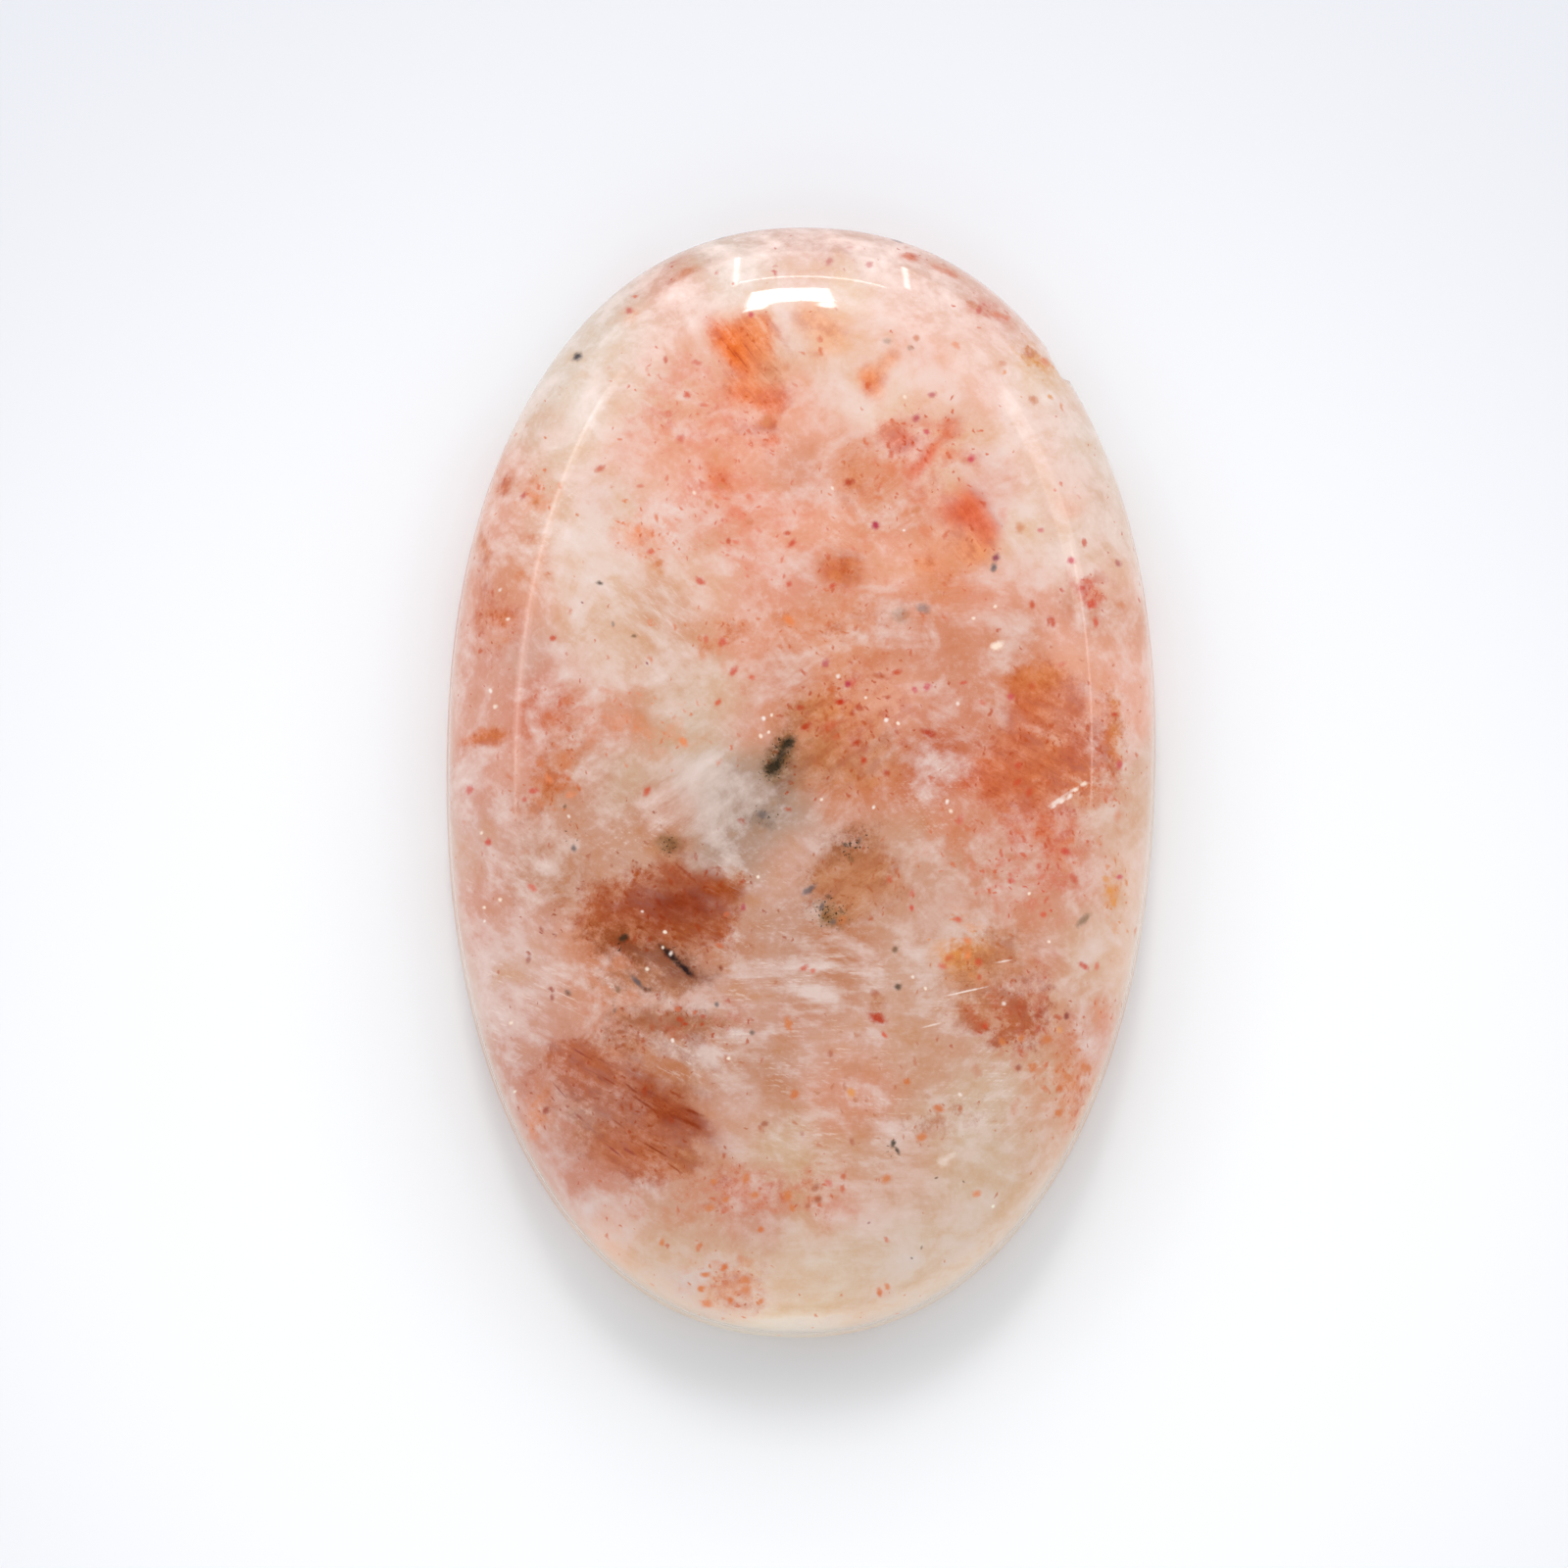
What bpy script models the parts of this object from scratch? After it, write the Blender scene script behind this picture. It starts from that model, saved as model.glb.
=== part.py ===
# Oval sunstone cabochon: one polished stone with a flat back and a low dome.
# It lies on its back, dome up, with its long axis along Y. Units are metres.
# The origin is at the middle of the flat back, so the stone stands on Z = 0.

import math

import bmesh
import bpy

# Driving dimensions of the stone
LENGTH = 0.0440
WIDTH = 0.0280
THICKNESS = 0.0070

# Outline seen from above: a slightly squared oval, a little wider towards +Y
OUTLINE_POWER = 2.2
TOP_WIDENING = 0.03

# Side of the stone, from the back upwards
BACK_BEVEL = 0.0004
GIRDLE_HEIGHT = 0.0018
GIRDLE_LEAN = 0.00015

# Dome: a rounded shoulder of even width, and a shallow crown over all of it
SHOULDER_WIDTH = 0.0042
SHOULDER_RISE = 0.0029
CROWN_RISE = THICKNESS - GIRDLE_HEIGHT - SHOULDER_RISE

# Chip in the lower edge of the girdle, high on the right: the bite of a small ball
CHIP_TURN = math.radians(45)
CHIP_RADIUS = 0.0010
CHIP_STAND_OFF = 0.00085
CHIP_HEIGHT = 0.0006

# Fineness of the mesh
SEGMENTS = 104
SHOULDER_RINGS = 10
CROWN_RINGS = 9

# Finish of the polished stone
STONE_COLOUR = (0.70, 0.38, 0.27, 1.0)
STONE_ROUGHNESS = 0.12


def clear_scene():
    for old in list(bpy.data.objects):
        bpy.data.objects.remove(old)


def signed_power(value, power):
    return math.copysign(abs(value) ** power, value)


def outline_point(turn, inset):
    """Point of the outline at this turn, with the whole outline drawn in by inset.

    The third value is the reach: the distance from the centre to the tangent there.
    """
    half_width = WIDTH / 2 - inset
    half_length = LENGTH / 2 - inset
    across = signed_power(math.cos(turn), 2 / OUTLINE_POWER)
    along = signed_power(math.sin(turn), 2 / OUTLINE_POWER)
    slope_across = abs(across) ** (OUTLINE_POWER - 1) / half_width
    slope_along = abs(along) ** (OUTLINE_POWER - 1) / half_length
    widening = 1 + TOP_WIDENING * along
    x = half_width * across * widening
    y = half_length * along
    return x, y, 1 / math.hypot(slope_across, slope_along)


def shoulder_share(inward):
    """Part of the shoulder's rise that is reached this far in from the girdle."""
    left = max(0.0, 1 - inward / SHOULDER_WIDTH)
    return math.sqrt(1 - left * left)


def dome_point(turn, inward, shrink):
    """Point of the dome, inward from the girdle's top edge and then shrunk to the centre."""
    x, y, reach = outline_point(turn, GIRDLE_LEAN)
    share = (1 - inward / reach) * shrink
    from_edge = (1 - share) * reach
    height = GIRDLE_HEIGHT
    height += SHOULDER_RISE * shoulder_share(from_edge)
    height += CROWN_RISE * (1 - share * share)
    return x * share, y * share, height


def side_point(inset, height):
    """Rule for a ring on the flat-sided part of the stone."""

    def place(turn):
        x, y, _ = outline_point(turn, inset)
        return x, y, height

    return place


def dome_ring(inward, shrink):
    """Rule for a ring on the dome."""

    def place(turn):
        return dome_point(turn, inward, shrink)

    return place


def ring_rules():
    """The rings above the foot, in order from the girdle to just short of the top."""
    rules = [
        side_point(0.0, BACK_BEVEL),
        side_point(GIRDLE_LEAN, GIRDLE_HEIGHT),
    ]
    for number in range(1, SHOULDER_RINGS + 1):
        swing = math.pi / 2 * number / SHOULDER_RINGS
        rules.append(dome_ring(SHOULDER_WIDTH * (1 - math.cos(swing)), 1.0))
    for number in range(1, CROWN_RINGS):
        rules.append(dome_ring(SHOULDER_WIDTH, 1 - number / CROWN_RINGS))
    return rules


def place_ring(verts, turn_layer, rule):
    for vert in verts:
        vert.co = rule(vert[turn_layer])


def stone_mesh():
    """Flat back first, then each ring extruded from the last, and the top drawn to a point."""
    bm = bmesh.new()
    turn_layer = bm.verts.layers.float.new("turn")
    bmesh.ops.create_circle(bm, cap_ends=True, segments=SEGMENTS, radius=1.0)
    for vert in bm.verts:
        vert[turn_layer] = math.atan2(vert.co.y, vert.co.x)
    place_ring(bm.verts, turn_layer, side_point(BACK_BEVEL, 0.0))
    rim = list(bm.edges)
    rules = ring_rules()
    for rule in rules + rules[-1:]:
        made = bmesh.ops.extrude_edge_only(bm, edges=rim)["geom"]
        rim = [item for item in made if isinstance(item, bmesh.types.BMEdge)]
        ring = [item for item in made if isinstance(item, bmesh.types.BMVert)]
        place_ring(ring, turn_layer, rule)
    bmesh.ops.pointmerge(bm, verts=ring, merge_co=(0.0, 0.0, THICKNESS))
    bmesh.ops.recalc_face_normals(bm, faces=bm.faces)
    mesh = bpy.data.meshes.new("cabochon")
    bm.to_mesh(mesh)
    bm.free()
    return mesh


def stone_material():
    material = bpy.data.materials.new("sunstone")
    material.use_nodes = True
    shader = material.node_tree.nodes["Principled BSDF"]
    shader.inputs["Base Color"].default_value = STONE_COLOUR
    shader.inputs["Roughness"].default_value = STONE_ROUGHNESS
    shader.inputs["Metallic"].default_value = 0.0
    return material


def chip_cutter():
    """Small ball beside the girdle. It is a helper, and isn't a part of the stone."""
    x, y, _ = outline_point(CHIP_TURN, -CHIP_STAND_OFF)
    mesh = bpy.data.meshes.new("chip_cutter")
    bm = bmesh.new()
    bmesh.ops.create_icosphere(bm, subdivisions=3, radius=CHIP_RADIUS)
    bm.to_mesh(mesh)
    bm.free()
    cutter = bpy.data.objects.new("chip_cutter", mesh)
    bpy.context.scene.collection.objects.link(cutter)
    cutter.location = (x, y, CHIP_HEIGHT)
    cutter.hide_render = True
    cutter.display_type = "WIRE"
    return cutter


def build():
    clear_scene()
    mesh = stone_mesh()
    mesh.shade_smooth()
    mesh.set_sharp_from_angle(angle=math.radians(35))
    mesh.materials.append(stone_material())
    stone = bpy.data.objects.new("cabochon", mesh)
    bpy.context.scene.collection.objects.link(stone)
    chip = stone.modifiers.new("chip", "BOOLEAN")
    chip.operation = "DIFFERENCE"
    chip.object = chip_cutter()


build()
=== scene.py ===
import math

import bpy
import numpy as np
from mathutils import Matrix, Vector, noise


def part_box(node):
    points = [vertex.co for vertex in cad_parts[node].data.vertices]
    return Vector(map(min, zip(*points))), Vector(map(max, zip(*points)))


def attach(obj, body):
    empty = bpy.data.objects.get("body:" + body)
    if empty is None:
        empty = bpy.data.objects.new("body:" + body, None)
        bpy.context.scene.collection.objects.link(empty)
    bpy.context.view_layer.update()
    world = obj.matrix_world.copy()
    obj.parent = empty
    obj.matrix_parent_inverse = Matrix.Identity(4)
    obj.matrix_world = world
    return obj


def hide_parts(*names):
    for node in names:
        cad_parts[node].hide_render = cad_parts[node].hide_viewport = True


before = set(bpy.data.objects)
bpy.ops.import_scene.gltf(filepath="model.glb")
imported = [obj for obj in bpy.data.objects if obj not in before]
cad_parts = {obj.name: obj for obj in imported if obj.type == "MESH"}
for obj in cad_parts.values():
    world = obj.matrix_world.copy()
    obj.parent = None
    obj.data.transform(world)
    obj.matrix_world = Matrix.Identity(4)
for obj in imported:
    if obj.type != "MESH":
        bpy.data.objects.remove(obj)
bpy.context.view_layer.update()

# An oval sunstone cabochon, lying on its flat back, seen from above.
# The stone's own lengths are in millimetres here, and become metres where the mesh is made.
mm = 0.001
tiny = 1e-6
low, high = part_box("cabochon")
halfWidth = (high[0] - low[0]) / 2 / mm
halfLength = (high[1] - low[1]) / 2 / mm
topHeight = (high[2] - low[2]) / mm


# The camera looks down on the stone, a little from its lower end
camera = {
    "distance": 300.0,
    "tilt": 6.0,             # degrees away from straight down
    "roll": 0.95,
    "frameWidth": 62.0,      # width of stone and floor that the picture takes in
    "aimHeight": 0.4,
    "photoSize": 1600,       # the photograph's width and height in pixels
    "stoneMiddle": (817.0, 795.8),   # where the middle of the stone lies in the photograph
    "sensor": 36.0,
    "clip": (0.01, 50),      # in metres
    "rounds": 12,            # how often a sight line is followed to the dome before it has settled
}
perPixel = camera["frameWidth"] / camera["photoSize"]


def cameraAxes():
    lean = math.radians(camera["tilt"])
    turn = math.radians(camera["roll"])
    back = Vector((0, -math.sin(lean), math.cos(lean)))
    upright = Vector((0, math.cos(lean), math.sin(lean)))
    right = Vector((1, 0, 0)) * math.cos(turn) + upright * math.sin(turn)
    up = upright * math.cos(turn) - Vector((1, 0, 0)) * math.sin(turn)
    return right, up, back


def addCamera():
    right, up, back = cameraAxes()
    asideX = (camera["stoneMiddle"][0] - camera["photoSize"] / 2) * perPixel
    asideY = (camera["stoneMiddle"][1] - camera["photoSize"] / 2) * perPixel
    aim = Vector((0, 0, camera["aimHeight"])) - right * asideX + up * asideY
    eye = aim + back * camera["distance"]
    lens = bpy.data.cameras.new("camera")
    lens.sensor_width = camera["sensor"]
    lens.lens = camera["sensor"] * camera["distance"] / camera["frameWidth"]
    lens.clip_start, lens.clip_end = camera["clip"]
    view = bpy.data.objects.new("camera", lens)
    bpy.context.scene.collection.objects.link(view)
    view.matrix_world = Matrix.Translation(eye * mm) @ Matrix((right, up, back)).transposed().to_4x4()
    bpy.context.scene.camera = view


# The stone's shape
stone = {
    "power": 2.2,            # squareness of the oval
    "widening": 0.03,        # the +Y end is this much wider
    "lean": 0.15,            # the girdle leans in by this much
    "girdle": 1.8,           # height of the girdle's upper edge
    "shoulderWidth": 4.2,
    "shoulderRise": 2.9,
    "cellsAcross": 200,
    "cellsAlong": 340,
    "crownCells": 0.6,       # share of the cells, out from the middle, that the crown has
    "side": [(0.10, 1.35), (0.05, 0.90), (0.01, 0.58), (0.0, 0.46), (0.03, 0.36),
             (0.32, 0.06), (0.38, 0.015), (0.46, 0.0)],          # inset and height of each ring
    "backRings": [0.96, 0.88, 0.77, 0.64, 0.50, 0.34, 0.17],     # shares of the way out
    "unevenness": 0.010,     # depth of the hand-polished dome's slow waves
    "waveScale": 0.23,       # how many of them to the mm
    "waveFade": 6,           # how fast they fade towards the edge
    "smoothBelow": 40,       # degrees between faces that are shaded as one
    "rimHeight": 1.8,        # how far up the dome the painted paler rim light fades out
}
# The chip in the girdle, high on the right: its middle, the way it faces, and how far up it reaches
chip = {
    "middle": (10.04, 16.60),
    "facing": (0.83, 0.56),
    "length": 1.6,
    "depth": 0.26,
    "hollow": 0.8,           # how it deepens along its length
    "ledge": 0.08,           # share of its length in which it ends
    "reach": 1.2,
    "top": 3.0,
    "topFade": 0.7,
}
crownRise = topHeight - stone["girdle"] - stone["shoulderRise"]


def widestPoint():
    along = np.linspace(0, 0.3, 301)
    across = (1 - along ** stone["power"]) ** (1 / stone["power"])
    return (across * (1 + stone["widening"] * along)).max()


semiAcross = halfWidth / widestPoint()
semiAlong = halfLength
domeAcross = semiAcross - stone["lean"]
domeAlong = semiAlong - stone["lean"]


def edgeSlope(u, v):
    # how much of the way out one mm square to the dome's edge is, in the direction of u, v
    power = stone["power"]
    return np.hypot(np.abs(u) ** (power - 1) / domeAcross, np.abs(v) ** (power - 1) / domeAlong)


def domeHeight(x, y):
    # height of the polished face over a place on the plan, for numbers or arrays
    power = stone["power"]
    v = y / domeAlong
    u = x / (1 + stone["widening"] * v) / domeAcross
    share = (np.abs(u) ** power + np.abs(v) ** power) ** (1 / power)
    safe = np.maximum(share, tiny)
    fromEdge = np.maximum(0, 1 - share) / np.maximum(edgeSlope(u / safe, v / safe), tiny)
    left = np.maximum(0, 1 - fromEdge / stone["shoulderWidth"])
    shoulder = stone["shoulderRise"] * np.sqrt(1 - left * left)
    return stone["girdle"] + shoulder + crownRise * (1 - np.minimum(1, share) ** 2)


def onStone(pixel):
    # place on the plan, in mm, of a pixel of the photograph that shows the dome
    right, up, back = cameraAxes()
    eye = Vector((0, 0, camera["aimHeight"])) + back * camera["distance"]
    ray = (right * (pixel[0] - camera["stoneMiddle"][0]) * perPixel
           + up * (camera["stoneMiddle"][1] - pixel[1]) * perPixel
           - back * camera["distance"])
    height = topHeight
    for _ in range(camera["rounds"]):
        place = eye + ray * ((height - eye.z) / ray.z)
        height = float(domeHeight(place.x, place.y))
    return place.x, place.y


def outline(u, v, inset):
    # point of the evenly wide oval in the direction of u, v, with the semi-axes shortened by inset
    power = stone["power"]
    norm = (np.abs(u) ** power + np.abs(v) ** power) ** (1 / power)
    return u / norm * (semiAcross - inset), v / norm * (semiAlong - inset)


def blank():
    # a flat grid whose rim is drawn down over the side and in over the back, ring by ring
    bpy.ops.object.select_all(action="DESELECT")
    bpy.ops.mesh.primitive_grid_add(
        x_subdivisions=stone["cellsAcross"], y_subdivisions=stone["cellsAlong"], size=2)
    piece = bpy.context.object
    piece.name = "stone"
    bpy.ops.object.mode_set(mode="EDIT")
    bpy.ops.mesh.select_all(action="SELECT")
    bpy.ops.mesh.region_to_loop()
    for _ in stone["side"]:
        bpy.ops.mesh.extrude_edges_move(TRANSFORM_OT_translate={"value": (0, 0, -1)})
    last = 1
    for share in stone["backRings"]:
        bpy.ops.mesh.extrude_edges_move(TRANSFORM_OT_translate={"value": (0, 0, -1)})
        bpy.ops.transform.resize(value=(share / last, share / last, 1), center_override=(0, 0, 0))
        last = share
    bpy.ops.mesh.merge(type="CENTER")
    bpy.ops.object.mode_set(mode="OBJECT")
    return piece


def meshValues(mesh, name):
    values = np.empty(len(mesh.vertices) * 3)
    mesh.vertices.foreach_get(name, values)
    return values.reshape(-1, 3)


def shapeStone(mesh):
    # where the blank's points lie on the stone's surface
    flat = meshValues(mesh, "co")
    ring = np.rint(-flat[:, 2]).astype(int)
    reach = np.maximum(np.abs(flat[:, 0]), np.abs(flat[:, 1]))
    spread = np.where(ring == 0, 1, np.maximum(reach, tiny))
    u, v = flat[:, 0] / spread, flat[:, 1] / spread
    p = u * np.sqrt(1 - v * v / 2)   # the square grid becomes a round one
    q = v * np.sqrt(1 - u * u / 2)
    share = np.hypot(p, q)
    p = np.where(share < tiny, tiny, p)
    made = np.zeros_like(flat)

    # the dome: crown inside, shoulder outside with its points crowded towards the steep edge
    x, y = outline(p, q, stone["lean"])
    toEdge = 1 / edgeSlope(x / domeAcross, y / domeAlong)
    crownEdge = 1 - stone["shoulderWidth"] / toEdge
    swing = np.clip((1 - share) / (1 - stone["crownCells"]), 0, 1) * math.pi / 2
    onShoulder = 1 - stone["shoulderWidth"] * (1 - np.cos(swing)) / toEdge
    onCrown = share / stone["crownCells"] * crownEdge
    out = np.where(share > stone["crownCells"], onShoulder, onCrown)
    made[:, 1] = y * out
    made[:, 0] = x * out * (1 + stone["widening"] * made[:, 1] / domeAlong)
    made[:, 2] = domeHeight(made[:, 0], made[:, 1])
    crowning = np.clip((1 - out) * stone["waveFade"], 0, 1)
    waves = np.array([noise.noise(Vector(point) * stone["waveScale"]) for point in made * (1, 1, 0)])
    made[:, 2] -= stone["unevenness"] * crowning * (0.5 + 0.5 * waves)

    # the side, from under the dome's edge down to the back's rim, and then the flat back
    inset = stone["side"][-1][0]
    rings = [(*row, 1) for row in stone["side"]] + [(inset, 0, wayOut) for wayOut in stone["backRings"]]
    for number, (inset, height, wayOut) in enumerate(rings, start=1):
        here = ring == number
        x, y = outline(p[here], q[here], inset)
        made[here, 0] = x * (1 + stone["widening"] * y / (semiAlong - inset)) * wayOut
        made[here, 1] = y * wayOut
        made[here, 2] = height
    centre = ring == len(rings)
    if centre.sum() == 1:
        made[centre] = 0
    return made


def notch(places):
    # the chip in the girdle: a bite that deepens towards the lower end and stops at a small ledge
    outward = np.array(chip["facing"])
    along = np.array((outward[1], -outward[0]))
    offset = places[:, :2] - chip["middle"]
    past = offset @ along / chip["length"]
    near = np.abs(offset @ outward) < chip["reach"]
    rise = np.clip(past + 0.5, 0, 1)
    fall = np.clip((0.5 - past) / chip["ledge"], 0, 1)
    low = np.clip((chip["top"] - places[:, 2]) / chip["topFade"], 0, 1)
    bite = rise ** chip["hollow"] * fall * low * near
    made = places.copy()
    made[:, :2] -= chip["depth"] * bite[:, None] * outward
    return made, bite


# Soft light from all round, stronger from the stone's upper end, with a dimmer opening above
# for the camera. Directions are degrees away from straight up, and from +Y towards +X.
lighting = {
    "soft": 0.80,            # radiance of the whole tent
    "sides": [               # what its sides add: direction, radiance, narrowness
        ((66, 0), 1.9, 2.0),
        ((75, 180), 0.5, 2.0),
    ],
    "overhead": 0.06,        # share of it that the opening leaves
    "overheadFrom": (5, 0),
    "overheadEdge": (26, 40),
    "tint": (0.97, 0.985, 1.0),
    "distance": 400.0,
    # strip lights, as: name, one end, the other end, width in mm, radiance
    "strips": [
        ("softbox", (48.5, -10.5), (48.5, 3.5), 72, 16.0),
        ("softboxLeft", (42.2, -10.7), (41.5, -6.5), 28, 16.0),
        ("softboxRight", (40.8, 1.5), (40.8, 4.0), 24, 16.0),
        ("frameTop", (64, -12.5), (64, 14.5), 6, 10.0),
        ("frameLeft", (62, -13.5), (90, -12.0), 8, 5.0),
        ("frameRight", (70, 19.0), (106, 15.5), 9, 7.0),
        ("leftGlow", (55.5, -41), (57.5, -84), 46, 1.3),
        ("left", (56.5, -47), (58.1, -87), 15, 1.8),
        ("rightGlow", (56.0, 44), (60.0, 72), 74, 1.4),
        ("right", (60.0, 66), (62.0, 86), 11, 2.4),
    ],
    # how strongly it lights a face that looks straight up, and what a tilt towards +Y adds
    "strength": (1.064, 0.507, 0.144),
    # what the polish mirrors: on the crown, on the shoulder, and more where that faces +Y
    "glare": (0.004, 0.048, 0.11),
    "shoulderTilt": (13, 19),
    "darkest": 0.003,
    "palest": 0.93,
    "richness": 1.12,        # deepens the stone's colours beyond what a single tone shows
}


# Colours as they look in the photograph, 0 to 255
tones = {
    # the milky body
    "rosyWhite": (246, 213, 201), "creamHigh": (237, 212, 199), "cream": (227, 195, 177),
    "creamLow": (216, 196, 179), "creamWarm": (215, 188, 166), "milkWhite": (217, 198, 188),
    "pinkHigh": (240, 190, 172), "pinkWarm": (238, 176, 152), "pinkMid": (229, 170, 149),
    "pinkSoft": (222, 163, 141), "pinkLeft": (218, 165, 148), "lilacPink": (219, 183, 171),
    "peachPale": (225, 196, 177), "ivory": (243, 228, 217), "lilacPale": (225, 198, 189),
    "ashPink": (180, 153, 138), "creamPink": (235, 206, 188), "pinkPale": (226, 176, 160),
    "sandPink": (226, 165, 135), "beigePink": (209, 166, 147), "beigeLow": (211, 172, 153),
    "dustyPink": (205, 152, 135), "tanPink": (201, 158, 138), "peachCream": (218, 176, 152),
    "rosySand": (217, 156, 132), "warmSand": (211, 149, 121),
    # coloured patches
    "vividOrange": (240, 128, 58), "orange": (238, 145, 92), "orangeRed": (226, 118, 78),
    "peach": (244, 176, 140), "peachOrange": (232, 152, 112), "tanOrange": (222, 146, 104),
    "coral": (232, 138, 112), "coralRed": (220, 104, 76), "coralPink": (224, 134, 112),
    "umber": (150, 88, 58), "mauveBrown": (154, 102, 82), "rustGold": (168, 88, 34),
    "rustGlow": (160, 70, 14), "clayBrown": (190, 114, 80), "amberBrown": (200, 102, 42),
    "brickPale": (216, 132, 94), "goldOrange": (240, 178, 108), "dustTan": (182, 128, 104),
    "smoke": (132, 100, 80), "orangeBrown": (212, 126, 76), "deepOrange": (236, 132, 73),
    "strongRed": (220, 98, 60), "ochre": (214, 136, 88), "yellowOrange": (230, 160, 88),
    "brick": (208, 116, 80), "brickDeep": (194, 98, 60), "rust": (172, 92, 56), "rustDeep": (144, 58, 18),
    "rustOrange": (206, 108, 60), "redBrown": (184, 106, 76), "deepBrown": (160, 74, 40),
    "khaki": (188, 130, 90), "tan": (198, 140, 108), "oliveGrey": (150, 122, 96),
    "blueGrey": (150, 130, 124),
    # flecks; the glint tone is a painted glint, a near-white that stands in for sparkles of light off the
    # platelets
    "vermilion": (208, 92, 60), "scarlet": (190, 74, 44), "fleckRed": (214, 84, 62),
    "fleckDeep": (200, 62, 30), "rose": (214, 84, 100), "magenta": (188, 48, 86), "plum": (150, 64, 92),
    "brown": (166, 84, 44), "black": (44, 34, 36), "greenBlack": (58, 52, 40), "slate": (104, 98, 102),
    "olive": (120, 92, 60), "glint": (255, 232, 214),
    # veils, fibres and the rim; edgeCream is also laid over the rim as painted light
    "fissure": (250, 232, 222), "veil": (236, 217, 210), "edgeCream": (226, 214, 200),
}


# The milky body: a tone, and the pixels of the photograph round which it has it, each with
# how many mm that reaches
body = {
    "rosyWhite": [
        (840, 250, 2.6), (940, 300, 2.2), (980, 370, 2.4), (1060, 440, 2.0), (875, 342, 1.0),
        (1138, 588, 1.0),
    ],
    "fissure": [(870, 294, 1.0), (1062, 393, 0.9)],
    "ivory": [(730, 300, 2.0), (1110, 450, 1.6), (580, 395, 2.4), (618, 335, 1.5), (898, 418, 1.2)],
    "pinkHigh": [
        (700, 340, 2.0), (690, 300, 0.9), (934, 347, 1.0), (1004, 404, 0.8), (660, 480, 1.6),
        (820, 450, 2.4), (913, 577, 1.0), (1100, 658, 1.2), (490, 520, 1.6), (911, 717, 1.0),
        (1150, 700, 1.4),
    ],
    "creamPink": [
        (660, 390, 1.6), (850, 370, 2.0), (1130, 530, 1.6), (1120, 575, 1.2), (718, 592, 1.2),
        (545, 460, 1.6), (600, 560, 2.0), (1000, 440, 1.8),
    ],
    "pinkWarm": [(814, 404, 0.9), (520, 476, 0.8), (700, 430, 2.2), (790, 520, 2.2)],
    "tan": [
        (665, 828, 1.3), (706, 1075, 1.1), (735, 1071, 1.0), (605, 785, 0.9), (857, 963, 1.0),
        (840, 1013, 1.0), (737, 974, 0.9),
    ],
    "rosySand": [
        (763, 733, 1.0), (1115, 1057, 1.0), (817, 482, 1.0), (930, 650, 2.0), (625, 745, 1.6),
        (960, 720, 1.6), (1090, 900, 1.8), (866, 1114, 1.4),
    ],
    "pinkPale": [(826, 597, 0.9), (518, 786, 0.8), (500, 700, 2.0)],
    "peachCream": [(679, 627, 1.0), (690, 680, 1.4), (1100, 1010, 1.6), (1080, 1140, 1.8)],
    "warmSand": [
        (1052, 976, 0.9), (1108, 625, 0.8), (803, 687, 0.9), (1040, 650, 1.0), (900, 760, 2.0),
        (600, 1005, 2.0), (1010, 870, 1.8), (850, 1222, 1.0),
    ],
    "ashPink": [(755, 798, 0.8), (756, 835, 1.4), (764, 872, 0.8)],
    "beigeLow": [(652, 858, 0.8), (950, 890, 2.0), (930, 980, 1.8), (950, 1060, 2.0), (900, 1190, 1.8)],
    "lilacPink": [
        (750, 1136, 1.0), (541, 674, 0.9), (790, 888, 1.1), (550, 1040, 1.6), (740, 1016, 2.0),
        (860, 1062, 1.8),
    ],
    "sandPink": [(872, 465, 0.9), (534, 581, 0.9), (907, 520, 1.0), (840, 640, 2.2), (1130, 626, 1.2)],
    "veil": [(630, 515, 1.2)],
    "cream": [(640, 620, 2.2), (610, 680, 1.4), (1150, 820, 1.8), (618, 1260, 1.0)],
    "pinkMid": [(1013, 489, 0.8), (740, 570, 2.0), (780, 640, 1.8), (1040, 620, 1.6), (500, 600, 2.2)],
    "creamHigh": [(1060, 540, 1.8), (1150, 900, 1.3), (1140, 970, 1.2)],
    "brick": [(562, 714, 1.4)],
    "creamLow": [(641, 792, 1.0), (1010, 1160, 2.2), (950, 1290, 2.4)],
    "creamWarm": [
        (700, 730, 1.5), (810, 1200, 2.0), (850, 1290, 2.4), (690, 1290, 1.8), (1000, 1230, 2.0),
    ],
    "peachPale": [(738, 710, 0.9), (1120, 960, 1.6)],
    "milkWhite": [(720, 790, 2.0)],
    "pinkSoft": [(984, 810, 1.6)],
    "brickDeep": [(952, 778, 1.1)],
    "pinkLeft": [(490, 830, 1.8), (500, 920, 2.0)],
    "lilacPale": [(520, 985, 1.8), (482, 862, 1.2)],
    "beigePink": [(580, 850, 2.0), (700, 1230, 1.8)],
    "khaki": [(556, 889, 1.1)],
    "tanPink": [(800, 960, 2.4), (760, 1090, 2.0)],
    "dustyPink": [(540, 1090, 1.8), (600, 1218, 1.8), (775, 1232, 1.1)],
    "edgeCream": [(813, 1324, 1.6)],
}


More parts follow.
